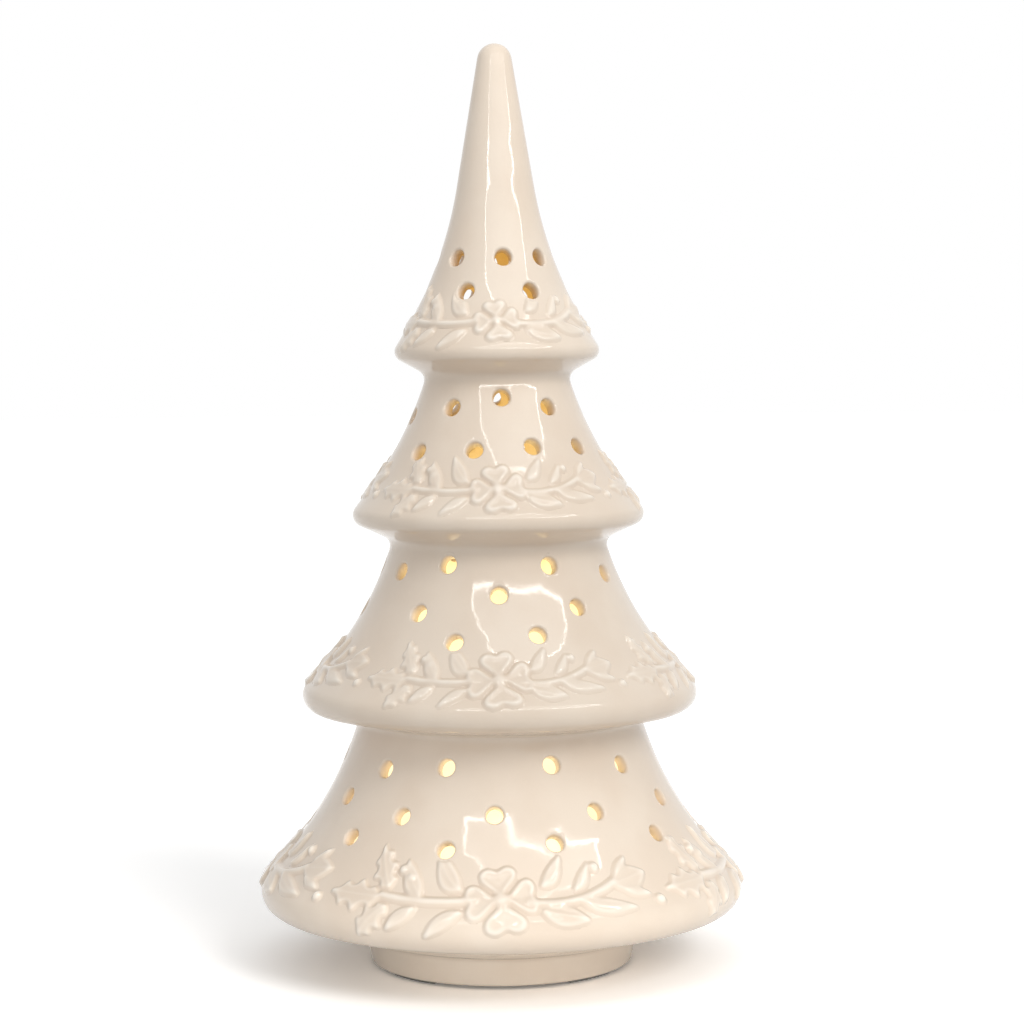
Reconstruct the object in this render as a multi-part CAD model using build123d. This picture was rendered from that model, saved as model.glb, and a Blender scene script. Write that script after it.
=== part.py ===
from build123d import *
import os
from dataclasses import dataclass
from math import acos, asin, atan2, cos, degrees, hypot, pi, radians, sin, sqrt, tan

# Ceramic Christmas tree: a pierced, glazed shell in four tiers over a round foot, lit from inside by
# a battery light unit that pushes into the foot from below and is held there by a soft ring.
# Millimetres, +Z up. The origin is on the table under the tip, and the front of the tree faces -Y.
# An azimuth is in degrees from the front, and grows towards +X.


@dataclass
class Tier:
    """One flared tier, in shares of the tree's height and width and of the tier above."""

    brim_width_share: float
    brim_height_share: float
    edge_share: float
    neck_share: float
    neck_bend: float
    flank_bend: float


# Sizes of the tree. The neck of a tier is a share of the brim above it, and the top tier's of its own brim.
# The bends are the leans of the wall at the neck and on the flank, against the lean of a straight wall.
TREE_HEIGHT = 300.0
TREE_WIDTH = 158.0
WALL = 4.0
TOP_TIER = Tier(
    brim_width_share=0.4228,
    brim_height_share=0.6667,
    edge_share=0.102,
    neck_share=0.374,
    neck_bend=0.449,
    flank_bend=1.51,
)
SECOND_TIER = Tier(
    brim_width_share=0.6025,
    brim_height_share=0.4923,
    edge_share=0.0925,
    neck_share=0.71,
    neck_bend=0.541,
    flank_bend=1.285,
)
THIRD_TIER = Tier(
    brim_width_share=0.8177,
    brim_height_share=0.2943,
    edge_share=0.096,
    neck_share=0.742,
    neck_bend=0.476,
    flank_bend=1.365,
)
BOTTOM_TIER = Tier(
    brim_width_share=1.0,
    brim_height_share=0.084,
    edge_share=0.086,
    neck_share=0.743,
    neck_bend=0.51,
    flank_bend=1.37,
)
TIERS = [TOP_TIER, SECOND_TIER, THIRD_TIER, BOTTOM_TIER]
SPIRE_SHARE = 0.46
TIER_OVERLAP = 0.195
NECK_FILLET = 2.6
INSIDE_ROUND = 1.0
SOLID_TIP = 12.0
NECK_OVERRUN = 12.0

# Sizes of the foot
FOOT_HEIGHT_SHARE = 0.4
FOOT_WALL = 5.8
FOOT_SPREAD = 1.8
FOOT_EDGE = 0.9
FELT_THICKNESS = 1.0
FELT_WIDTH = 3.0
FELT_ARC = 26.0
FELT_COUNT = 4

# Light holes, each an azimuth and the percentage of the way up from the brim to the neck.
# The back half repeats the front half.
HOLE_DIAMETER = 5.6
HOLE_DEPTH = 16.0
HOLES = [
    [(-39, 57), (7, 57), (45, 57), (93, 57), (-23, 37), (27, 37), (90, 37)],
    [(-78, 77), (-32, 84), (3, 91), (37, 84), (-48, 51), (-13, 53), (20, 55), (50, 53), (92, 53)],
    [
        (-55, 87), (-25, 93), (25, 93), (62, 85), (93, 89), (0, 75),
        (-85, 60), (-35, 62), (35, 66), (-17, 46), (15, 50),
    ],
    [
        (-46, 86), (-19, 92), (19, 92), (50, 88), (92, 88),
        (-65, 67), (-33, 61), (-2, 65), (32, 65), (70, 65),
        (-53, 45), (-16, 43), (17, 47), (54, 45), (90, 45),
    ],
]

# Relief garland. A motif is drawn flat, in millimetres right of and up the slope from its flower,
# and is scaled to fill its share of the way round. The other shares are of the length of the slope.
RELIEF_HEIGHT = 1.1
BOSS_HEIGHT = 1.7
PETAL_COUNT = 4
PETAL_TURN = 8.0
PETAL_SHOULDER = (0.80, 0.46)
PETAL_NOTCH = 0.86
PETAL_FLANK = (0.42, 0.36)
PETAL_LOBE = 0.26
FLOWER_EYE = 0.25
STEM_WIDTH = 1.6
BERRY_RADIUS = 1.5
BAND_TOP_SHARE = 0.6
BAND_LOWEST_NORMAL = -20.0
FLOWER_RADIUS_SHARE = [0.145, 0.19, 0.171, 0.164]
FLOWER_SLOPE_SHARE = [0.16, 0.195, 0.17, 0.11]
MOTIF_COPIES = [2, 3, 4, 4]
MOTIF_LENGTH = 111.0
# Leaves: stalk end right, stalk end up, direction, length, width
LEAVES = [
    (10, 4, 30, 12, 5.0),
    (9, -3, -24, 13, 6.4),
    (20, -2, -28, 14, 5.4),
    (31, 4, 22, 13, 7.0),
    (35, -3, -14, 10, 4.4),
    (-10, 3, 150, 13, 5.6),
    (-10, -4, 205, 12, 5.4),
    (-40, 1, 96, 12, 4.6),
]
LEAF_BELLY = 0.45
# Holly leaves, in the same order of values
HOLLY_LEAVES = [
    (-41, 2, 140, 16, 6.6),
    (-42, 0, 178, 17, 7.4),
    (-39, -2, 228, 12, 6.8),
]
HOLLY_SPINES = 3
HOLLY_FIRST_SPINE = 0.8
HOLLY_BELLY = 1.4
HOLLY_HOLLOW = 0.72
# Stems: start, middle and end
STEMS = [
    ((5, -1), (19, -1), (33, 3)),
    ((-5, 0), (-22, -3), (-41, 0)),
]
BERRIES = [(-24, -7), (-28, -6), (-30, 2), (40, -7), (46, 1)]

# Sizes of the cells and their bay
CELL_DIAMETER = 10.5
CELL_LENGTH = 44.5
CELL_NUB_RADIUS = 1.9
CELL_NUB_LENGTH = 0.9
CELL_GAP = 0.4
CELL_COUNT = 3
LEAF_SPRING_DEPTH = 4.4
CONTACT_THICKNESS = 0.4
CONTACT_WIDTH = 7.0
CONTACT_TAB_WIDTH = 2.4
CONTACT_TAB_HEIGHT = 2.4
CONTACT_HEIGHT = 9.0
CONTACT_TAB_GAP = 0.1
SPRING_WIDTH = 5.0
SPRING_HEIGHT = 7.2
BAY_WALL = 1.4
BAY_OFFSET = 2.0
BAY_LEDGE = 1.0
LEAD_ROOM = 4.0

# Sizes of the light unit's cup and its soft ring
UNIT_RECESS = 2.0
CUP_RIM = 2.7
CUP_WALL = 1.8
CUP_FLOOR = 1.8
FLANGE_WIDTH = 1.7
FLANGE_HEIGHT = 2.2
FIT_GAP = 0.3
SEAT_GAP = 0.05
GRIP_GROOVE = 0.8
GRIP_BOTTOM = 5.8
GRIP_HEIGHT = 8.4
GRIP_BAND = 1.0
GRIP_FIN = 0.8
GRIP_FINS = 3

# Sizes of the battery door
DOOR_GAP = 0.3
DOOR_SEAT = 0.1
BARREL_RADIUS = 1.4
BARREL_LENGTH = 34.0
PIN_RADIUS = 0.8
PIN_LENGTH = 1.8
PIN_CLEARANCE = 0.06
EAR_WIDTH = 3.0
EAR_WALL = 1.3
LATCH_WIDTH = 10.0
LATCH_SLIT = 0.8
LATCH_LENGTH = 9.0
THUMB_RADIUS = 3.4
THUMB_DEPTH = 0.7

# Sizes of the slide switch
SWITCH_ROOM = 2.85
SWITCH_LENGTH = 11.0
SWITCH_WIDTH = 5.4
SWITCH_HEIGHT = 5.6
SWITCH_EAR_LENGTH = 3.6
SWITCH_EAR_THICKNESS = 0.8
SWITCH_SCREW_RADIUS = 0.8
SWITCH_SCREW_HEAD_RADIUS = 1.4
SWITCH_SCREW_HEAD = 0.9
SWITCH_SCREW_LENGTH = 3.4
SWITCH_BOSS_RADIUS = 1.7
SWITCH_BOSS_HEIGHT = 2.0
SWITCH_PIN_COUNT = 3
SWITCH_PIN_SPACING = 3.0
SWITCH_PIN_HEIGHT = 2.6
SWITCH_PIN_WIDTH = 1.4
SWITCH_PIN_THICKNESS = 0.6
KNOB_LENGTH = 3.6
KNOB_WIDTH = 3.0
KNOB_PROUD = 0.8
KNOB_STEM = 1.8
KNOB_STEM_DEPTH = 2.0
KNOB_TRAVEL = 4.0
KNOB_GAP = 0.2

# Sizes of the deck, the board and the diffuser
DECK_THICKNESS = 2.0
DECK_SCREW_ANGLES = [90, 229, 311]
DECK_SCREW_RADIUS = 1.1
DECK_SCREW_LENGTH = 9.0
DECK_SCREW_HEAD_RADIUS = 2.1
DECK_SCREW_HEAD = 1.3
DECK_BOSS_RADIUS = 2.5
DECK_BOSS_GAP = 0.5
DIFFUSER_ROOM = 0.95
DIFFUSER_SKIRT = 5.0
DIFFUSER_WALL = 1.5
DIFFUSER_FLANGE = 2.4
DIFFUSER_FLANGE_HEIGHT = 1.6
DIFFUSER_RING_HEIGHT = 1.2
DIFFUSER_RING_WALL = 1.4
BOARD_GAP = 2.0
BOARD_THICKNESS = 1.6
BOARD_SCREW_INSET = 5.0
BOARD_SCREW_RADIUS = 0.9
BOARD_SCREW_LENGTH = 4.6
BOARD_SCREW_HEAD_RADIUS = 1.7
BOARD_SCREW_HEAD = 1.0
BOARD_BOSS_RADIUS = 2.2
BOARD_BOSS_HEIGHT = 1.6
LED_SIZE = 5.0
LED_CASE_HEIGHT = 1.2
LED_LENS_HEIGHT = 0.4
LED_LENS_RADIUS = 1.9
LED_ROOM = 0.8
LED_RING_COUNT = 5

# Sizes of the leads
LEAD_RADIUS = 0.6
LEAD_BEND = 3.0
LEAD_HOLE_RADIUS = 1.5
LEAD_HOLE_SPACING = 3.6
LEAD_HOLE_Y = -4.0
LEAD_FIRST_BEND = 0.5
LEAD_SIDE_RUN = 0.67

# Levels and sizes that follow from the ones above
FLOOR_TOP = UNIT_RECESS + CUP_FLOOR
CELL_PITCH = CELL_DIAMETER + CELL_GAP
CELL_LEVEL = FLOOR_TOP + CELL_GAP + CELL_DIAMETER / 2
BAY_LENGTH = CONTACT_THICKNESS + CELL_LENGTH + LEAF_SPRING_DEPTH + 2 * SEAT_GAP
BAY_WIDTH = CELL_COUNT * CELL_PITCH + CELL_GAP
BAY_TOP = FLOOR_TOP + CELL_DIAMETER + 2 * CELL_GAP
BAY_ROOF = BAY_TOP + BAY_WALL
DOOR_NEAR = BAY_OFFSET - BAY_WIDTH / 2 - BAY_LEDGE
DOOR_FAR = BAY_OFFSET + BAY_WIDTH / 2 + BAY_LEDGE
DOOR_RECESS_LENGTH = BAY_LENGTH + 2 * BAY_LEDGE
HINGE_Y = DOOR_NEAR - BARREL_RADIUS
HINGE_Z = UNIT_RECESS + BARREL_RADIUS
EAR_REACH = PIN_RADIUS + EAR_WALL
SWITCH_Y = HINGE_Y - EAR_REACH - SWITCH_ROOM - SWITCH_WIDTH / 2
SWITCH_BOTTOM = FLOOR_TOP + SWITCH_BOSS_HEIGHT
SWITCH_TOP = SWITCH_BOTTOM + SWITCH_HEIGHT
SWITCH_EAR_X = (SWITCH_LENGTH + SWITCH_EAR_LENGTH) / 2
KNOB_REST = KNOB_TRAVEL / 2
CUP_RADIUS = hypot(DOOR_RECESS_LENGTH / 2, DOOR_FAR) + CUP_RIM
CUP_INSIDE = CUP_RADIUS - GRIP_GROOVE - CUP_WALL
CUP_TOP = BAY_ROOF + LEAD_ROOM
GRIP_REACH = CUP_RADIUS + FLANGE_WIDTH
DECK_TOP = CUP_TOP + DECK_THICKNESS
DECK_SCREW_CIRCLE = CUP_INSIDE - DECK_BOSS_RADIUS - DECK_BOSS_GAP
DIFFUSER_SEAT = DECK_SCREW_CIRCLE - DECK_SCREW_HEAD_RADIUS - DIFFUSER_ROOM - DIFFUSER_RING_WALL
DIFFUSER_RADIUS = DIFFUSER_SEAT - SEAT_GAP - DIFFUSER_FLANGE
BOARD_RADIUS = DIFFUSER_RADIUS - DIFFUSER_WALL - BOARD_GAP
BOARD_TOP = DECK_TOP + BOARD_THICKNESS
BOARD_SCREW_CIRCLE = BOARD_RADIUS - BOARD_SCREW_INSET
LED_RING_RADIUS = BOARD_SCREW_CIRCLE - BOARD_SCREW_HEAD_RADIUS - LED_SIZE / 2 - LED_ROOM
LEAD_LEVEL = BAY_ROOF + CONTACT_TAB_HEIGHT / 2
FOOT_BORE_RADIUS = GRIP_REACH + FIT_GAP
FOOT_BOTTOM_RADIUS = FOOT_BORE_RADIUS + FOOT_WALL
FOOT_TOP_RADIUS = FOOT_BOTTOM_RADIUS + FOOT_SPREAD
FOOT_TOP_HEIGHT = FOOT_HEIGHT_SHARE * BOTTOM_TIER.brim_height_share * TREE_HEIGHT


def brim_of(tier):
    """Outermost point of a tier, as radius and height."""
    return Vector(tier.brim_width_share * TREE_WIDTH / 2, tier.brim_height_share * TREE_HEIGHT)


def neck_of(tier, above):
    """Point where the wall of a tier begins: on the spire, or under the brim of the tier above."""
    brim = brim_of(tier)
    if above is None:
        return Vector(tier.neck_share * brim.X, TREE_HEIGHT - SPIRE_SHARE * (TREE_HEIGHT - brim.Y))
    over = brim_of(above)
    return Vector(tier.neck_share * over.X, over.Y - TIER_OVERLAP * (over.Y - brim.Y))


class Flare:
    """The wall of one tier in section, as points of (radius, height)."""

    def __init__(self, tier, above):
        brim = brim_of(tier)
        self.neck = neck_of(tier, above)
        straight_lean = degrees(atan2(brim.X - self.neck.X, self.neck.Y - brim.Y))
        self.neck_lean = tier.neck_bend * straight_lean
        self.flank_lean = tier.flank_bend * straight_lean
        self.edge_radius = tier.edge_share * brim.X
        self.brim_height = brim.Y
        self.edge_centre = Vector(brim.X - self.edge_radius, brim.Y)
        neck_normal = self.normal(self.neck_lean)
        self.flank_normal = self.normal(self.flank_lean)
        self.up_slope = Vector(-self.flank_normal.Y, self.flank_normal.X)
        self.edge_top = self.edge_centre + self.flank_normal * self.edge_radius
        reach = (self.neck - self.edge_top).dot(self.flank_normal)
        self.radius = reach / (1 - neck_normal.dot(self.flank_normal))
        self.centre = self.neck + neck_normal * self.radius
        self.flank_top = self.centre - self.flank_normal * self.radius
        self.flank_length = (self.flank_top - self.edge_top).dot(self.up_slope)
        self.slope_length = self.flank_length + self.radius * radians(self.flank_lean - self.neck_lean)

    def normal(self, lean):
        return Vector(cos(radians(lean)), sin(radians(lean)))

    def on_arc(self, lean, lift=0.0):
        """Point of the arc where the wall has this lean, lifted off the wall."""
        return self.centre - self.normal(lean) * (self.radius - lift)

    def on_edge(self, lean, lift=0.0):
        """Point of the brim's round where the outward normal has this slope."""
        return self.edge_centre + self.normal(lean) * (self.edge_radius + lift)

    def lean_at_slope(self, slope):
        """Lean of the wall at a distance up the slope from the top of the brim's round."""
        if slope < 0:
            return self.flank_lean + degrees(slope / self.edge_radius)
        past_flank = max(slope - self.flank_length, 0.0)
        return self.flank_lean - degrees(past_flank / self.radius)

    def at_slope(self, slope):
        lean = self.lean_at_slope(slope)
        if slope < 0:
            return self.on_edge(lean), lean
        if slope <= self.flank_length:
            return self.edge_top + self.up_slope * slope, lean
        return self.on_arc(lean), lean

    def at_percent(self, percent):
        """Point and lean of the wall this far up from the brim to the neck."""
        height = self.brim_height + (self.neck.Y - self.brim_height) * percent / 100
        if height <= self.flank_top.Y:
            return self.at_slope((height - self.edge_top.Y) / self.up_slope.Y)
        lean = degrees(asin((self.centre.Y - height) / self.radius))
        return self.on_arc(lean), lean

    def arc_edge(self, lift=0.0, top_lean=None):
        top = self.neck_lean if top_lean is None else top_lean
        middle = (top + self.flank_lean) / 2
        return ThreePointArc(
            self.on_arc(top, lift),
            self.on_arc(middle, lift),
            self.on_arc(self.flank_lean, lift),
        )

    def round_edge(self, lowest, lift=0.0):
        middle = (lowest + self.flank_lean) / 2
        return ThreePointArc(
            self.on_edge(self.flank_lean, lift),
            self.on_edge(middle, lift),
            self.on_edge(lowest, lift),
        )

    def underside_normal(self, corner):
        """Slope of the normal of the straight underside that runs to this corner."""
        way = corner - self.edge_centre
        towards = degrees(atan2(way.Y, way.X))
        return towards + degrees(acos(self.edge_radius / way.length))

    def inside_round(self, corner):
        """Arc that joins the insides of the flank and of the underside."""
        underside = self.normal(self.underside_normal(corner))
        across = self.flank_normal + underside
        round_radius = max(self.edge_radius - WALL, INSIDE_ROUND)
        shift = (self.edge_radius - WALL - round_radius) / (1 + self.flank_normal.dot(underside))
        centre = self.edge_centre + across * shift
        return ThreePointArc(
            centre + self.flank_normal * round_radius,
            centre + across.normalized() * round_radius,
            centre + underside * round_radius,
        )


FLARES = [Flare(tier, above) for tier, above in zip(TIERS, [None] + TIERS)]


def wall_point(point, azimuth):
    """Point in space of a section point turned to an azimuth."""
    turn = radians(azimuth)
    return Vector(point.X * sin(turn), -point.X * cos(turn), point.Y)


def wall_plane(point, lean, azimuth):
    """Plane that lies on the wall: X to the right, Y up the slope, Z out of the wall."""
    turn = radians(azimuth)
    right = Vector(cos(turn), sin(turn), 0)
    out = Vector(sin(turn), -cos(turn), 0) * cos(radians(lean)) + Vector(0, 0, 1) * sin(radians(lean))
    return Plane(origin=wall_point(point, azimuth), x_dir=right, z_dir=out)


def revolve_section(section):
    return revolve(Plane.XZ * section, Axis.Z)


def ring(inner, outer, bottom, height):
    """A plain ring about the axis."""
    section = Pos((inner + outer) / 2, bottom + height / 2) * Rectangle(outer - inner, height)
    return revolve_section(section)


def disc(radius, bottom, height, x=0.0, y=0.0):
    return Pos(x, y, bottom) * Cylinder(radius, height, align=(Align.CENTER, Align.CENTER, Align.MIN))


def block(length, width, height, x, y, bottom):
    """A box centred on x and y that stands on its bottom height."""
    return Pos(x, y, bottom) * Box(length, width, height, align=(Align.CENTER, Align.CENTER, Align.MIN))


# Tree shell

def underside_corners():
    """Where each tier's underside ends: on the neck of the tier below, or on the foot."""
    return [flare.neck for flare in FLARES[1:]] + [Vector(FOOT_TOP_RADIUS, FOOT_TOP_HEIGHT)]


def outer_section():
    """Half section of the tree's outside, closed along the axis."""
    top = FLARES[0]
    lean = radians(top.neck_lean)
    spire = TREE_HEIGHT - top.neck.Y
    tip_radius = (top.neck.X - spire * tan(lean)) * cos(lean) / (1 - sin(lean))
    tip_centre = Vector(0, TREE_HEIGHT - tip_radius)
    tip_end = tip_centre + top.normal(top.neck_lean) * tip_radius
    tip_middle = tip_centre + top.normal((top.neck_lean + 90) / 2) * tip_radius
    apex = Vector(0, TREE_HEIGHT)
    edges = [ThreePointArc(apex, tip_middle, tip_end), Line(tip_end, top.neck)]
    corners = underside_corners()
    foot_top = corners[-1]
    for flare, corner in zip(FLARES, corners):
        lowest = flare.underside_normal(corner)
        edges.append(flare.arc_edge())
        edges.append(Line(flare.flank_top, flare.edge_top))
        edges.append(flare.round_edge(lowest))
        edges.append(Line(flare.on_edge(lowest), corner))
    foot_bottom = Vector(FOOT_BOTTOM_RADIUS, FELT_THICKNESS)
    centre = Vector(0, FELT_THICKNESS)
    edges.append(Line(foot_top, foot_bottom))
    edges.append(Line(foot_bottom, centre))
    edges.append(Line(centre, apex))
    face = make_face(edges)
    for corner in corners:
        near = face.vertices().sort_by_distance((corner.X, corner.Y, 0))[0]
        face = fillet(near, NECK_FILLET)
    near = face.vertices().sort_by_distance((foot_bottom.X, foot_bottom.Y, 0))[0]
    return fillet(near, FOOT_EDGE)


def hollow_section():
    """Half section of the hollow: each tier's wall moved in by its thickness, and the foot's bore."""
    top = FLARES[0]
    ceiling = TREE_HEIGHT - SOLID_TIP
    bore_height = FLARES[-1].brim_height - FELT_THICKNESS
    bore = Rectangle(FOOT_BORE_RADIUS, bore_height, align=Align.MIN)
    hollow = Pos(0, FELT_THICKNESS) * bore
    for flare, corner in zip(FLARES, underside_corners()):
        start = flare.on_arc(flare.neck_lean, -WALL)
        rise = ceiling - start.Y if flare is top else NECK_OVERRUN
        head = Vector(start.X - rise * tan(radians(flare.neck_lean)), start.Y + rise)
        head_centre = Vector(0, head.Y)
        brim = flare.inside_round(corner)
        underside = brim @ 1
        slope = radians(flare.underside_normal(corner))
        axis_end = Vector(0, underside.Y + underside.X / tan(slope))
        hollow += make_face([
            Line(head_centre, head),
            Line(head, start),
            flare.arc_edge(-WALL),
            Line(flare.on_arc(flare.flank_lean, -WALL), brim @ 0),
            brim,
            Line(underside, axis_end),
            Line(axis_end, head_centre),
        ])
    return hollow


def light_holes(flare, holes):
    cutters = []
    for azimuth, percent in holes:
        point, lean = flare.at_percent(percent)
        for back in (0, 180):
            plane = wall_plane(point, lean, azimuth + back)
            cutters.append(plane * Cylinder(HOLE_DIAMETER / 2, HOLE_DEPTH))
    return cutters


def shell_slice(section, bottom, top):
    """The part of the shell between two heights."""
    band = Rectangle(TREE_WIDTH, top - bottom, align=Align.MIN)
    return revolve_section(section & (Pos(0, bottom) * band))


def shell_nodes():
    """The shell in five slices, each from one waist of the tree to the next."""
    section = outer_section() - hollow_section()
    tops = [TREE_HEIGHT] + [flare.neck.Y for flare in FLARES[1:]]
    bottoms = tops[1:] + [FOOT_TOP_HEIGHT]
    nodes = {"shell_foot": shell_slice(section, FELT_THICKNESS, FOOT_TOP_HEIGHT)}
    for count, flare in enumerate(FLARES):
        ring_wall = shell_slice(section, bottoms[count], tops[count])
        nodes[f"shell_{count + 1}"] = ring_wall - light_holes(flare, HOLES[count])
    return nodes


def felt_pads():
    middle = (FOOT_BORE_RADIUS + FOOT_BOTTOM_RADIUS - FOOT_EDGE) / 2
    whole = ring(middle - FELT_WIDTH / 2, middle + FELT_WIDTH / 2, 0, FELT_THICKNESS)
    reach = 2 * FOOT_BOTTOM_RADIUS
    half_width = reach * tan(radians(FELT_ARC / 2))
    wedge = make_face(Polyline((0, 0), (reach, -half_width), (reach, half_width), close=True))
    pad = whole & extrude(wedge, FELT_THICKNESS)
    step = 360 / FELT_COUNT
    return [Rot(0, 0, (count + 0.5) * step) * pad for count in range(FELT_COUNT)]


# Relief garlands

def relief_band(flare, lift):
    """Layer of this height over the lower wall of a tier."""
    top_lean = flare.lean_at_slope(BAND_TOP_SHARE * flare.slope_length)
    low = BAND_LOWEST_NORMAL
    edges = []
    for height in (0.0, lift):
        edges.append(flare.arc_edge(height, top_lean))
        shift = flare.flank_normal * height
        edges.append(Line(flare.flank_top + shift, flare.edge_top + shift))
        edges.append(flare.round_edge(low, height))
    edges.append(Line(flare.on_arc(top_lean), flare.on_arc(top_lean, lift)))
    edges.append(Line(flare.on_edge(low), flare.on_edge(low, lift)))
    return revolve_section(make_face(edges))


def leaf_outline(length, width):
    """Pointed oval that grows from the origin along X."""
    belly = LEAF_BELLY * length
    over = ThreePointArc((0, 0), (belly, width / 2), (length, 0))
    under = ThreePointArc((length, 0), (belly, -width / 2), (0, 0))
    return make_face([over, under])


def holly_outline(length, width):
    """Leaf with spines along both sides and hollow edges between them."""
    tips = []
    for count in range(HOLLY_SPINES):
        along = length * (count + HOLLY_FIRST_SPINE) / (HOLLY_SPINES + HOLLY_FIRST_SPINE)
        swell = sin(pi * (count + HOLLY_BELLY) / (HOLLY_SPINES + HOLLY_BELLY))
        tips.append(Vector(along, width / 2 * swell))
    upper = [Vector(0, 0)] + tips + [Vector(length, 0)]
    edges = []
    for start, end in zip(upper, upper[1:]):
        middle = (start + end) * 0.5
        arc = ThreePointArc(start, Vector(middle.X, middle.Y * HOLLY_HOLLOW), end)
        edges.append(arc)
        edges.append(mirror(arc, about=Plane.XZ))
    return make_face(edges)


def petal_outline(radius):
    """Heart-shaped petal with its notch outward, grown from the flower's middle along X."""
    root = Vector(0, 0)
    notch = Vector(PETAL_NOTCH * radius, 0)
    edges = []
    for side in (1, -1):
        flank = Vector(PETAL_FLANK[0] * radius, side * PETAL_FLANK[1] * radius)
        shoulder = Vector(PETAL_SHOULDER[0] * radius, side * PETAL_SHOULDER[1] * radius)
        lobe = Vector(radius, side * PETAL_LOBE * radius)
        edges.append(ThreePointArc(root, flank, shoulder))
        edges.append(ThreePointArc(shoulder, lobe, notch))
    return make_face(edges)


def garland(index):
    """One tier's garland: flowers with leafy sprigs, laid on the wall all the way round."""
    flare = FLARES[index]
    flower_radius = FLOWER_RADIUS_SHARE[index] * flare.slope_length
    centre_slope = FLOWER_SLOPE_SHARE[index] * flare.slope_length
    band_radius = flare.at_slope(centre_slope)[0].X
    scale = 2 * pi * band_radius / MOTIF_COPIES[index] / MOTIF_LENGTH

    def plane_at(right, up):
        point, lean = flare.at_slope(centre_slope + up * scale)
        return wall_plane(point, lean, degrees(right * scale / band_radius))

    def through(plane, face):
        return extrude(plane * face, flower_radius / 2, both=True)

    flower = plane_at(0, 0)
    low_tools = []
    for count in range(PETAL_COUNT):
        turn = Rot(0, 0, 90 + PETAL_TURN + count * 360 / PETAL_COUNT)
        low_tools.append(through(flower, turn * petal_outline(flower_radius)))
    for right, up, turn, length, width in LEAVES:
        outline = Rot(0, 0, turn) * leaf_outline(length * scale, width * scale)
        low_tools.append(through(plane_at(right, up), outline))
    for right, up, turn, length, width in HOLLY_LEAVES:
        outline = Rot(0, 0, turn) * holly_outline(length * scale, width * scale)
        low_tools.append(through(plane_at(right, up), outline))
    for start, middle, end in STEMS:
        plane = plane_at(*middle)
        points = [(Vector(*point) - Vector(*middle)) * scale for point in (start, middle, end)]
        low_tools.append(through(plane, SlotArc(ThreePointArc(*points), STEM_WIDTH * scale)))
    boss_tools = [through(flower, Circle(FLOWER_EYE * flower_radius))]
    for right, up in BERRIES:
        boss_tools.append(through(plane_at(right, up), Circle(BERRY_RADIUS * scale)))
    low = low_tools[0].fuse(*low_tools[1:])
    low = low - boss_tools
    motif = (relief_band(flare, RELIEF_HEIGHT) & low).solids()
    for tool in boss_tools:
        motif += (relief_band(flare, BOSS_HEIGHT) & tool).solids()
    step = 360 / MOTIF_COPIES[index]
    return [Rot(0, 0, count * step) * solid for count in range(MOTIF_COPIES[index]) for solid in motif]


# Light unit housing

def cell_y(count):
    return BAY_OFFSET + (count - (CELL_COUNT - 1) / 2) * CELL_PITCH


def deck_screw_places():
    for angle in DECK_SCREW_ANGLES:
        turn = radians(angle)
        yield DECK_SCREW_CIRCLE * cos(turn), DECK_SCREW_CIRCLE * sin(turn)


def board_screw_places():
    return [(0, BOARD_SCREW_CIRCLE), (0, -BOARD_SCREW_CIRCLE)]


def lead_hole_places():
    return [(-LEAD_HOLE_SPACING / 2, LEAD_HOLE_Y), (LEAD_HOLE_SPACING / 2, LEAD_HOLE_Y)]


def hinge_rod(radius, length):
    """A rod along the door's hinge, centred on the unit."""
    return Pos(0, HINGE_Y, HINGE_Z) * Rot(0, 90, 0) * Cylinder(radius, length)


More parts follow.
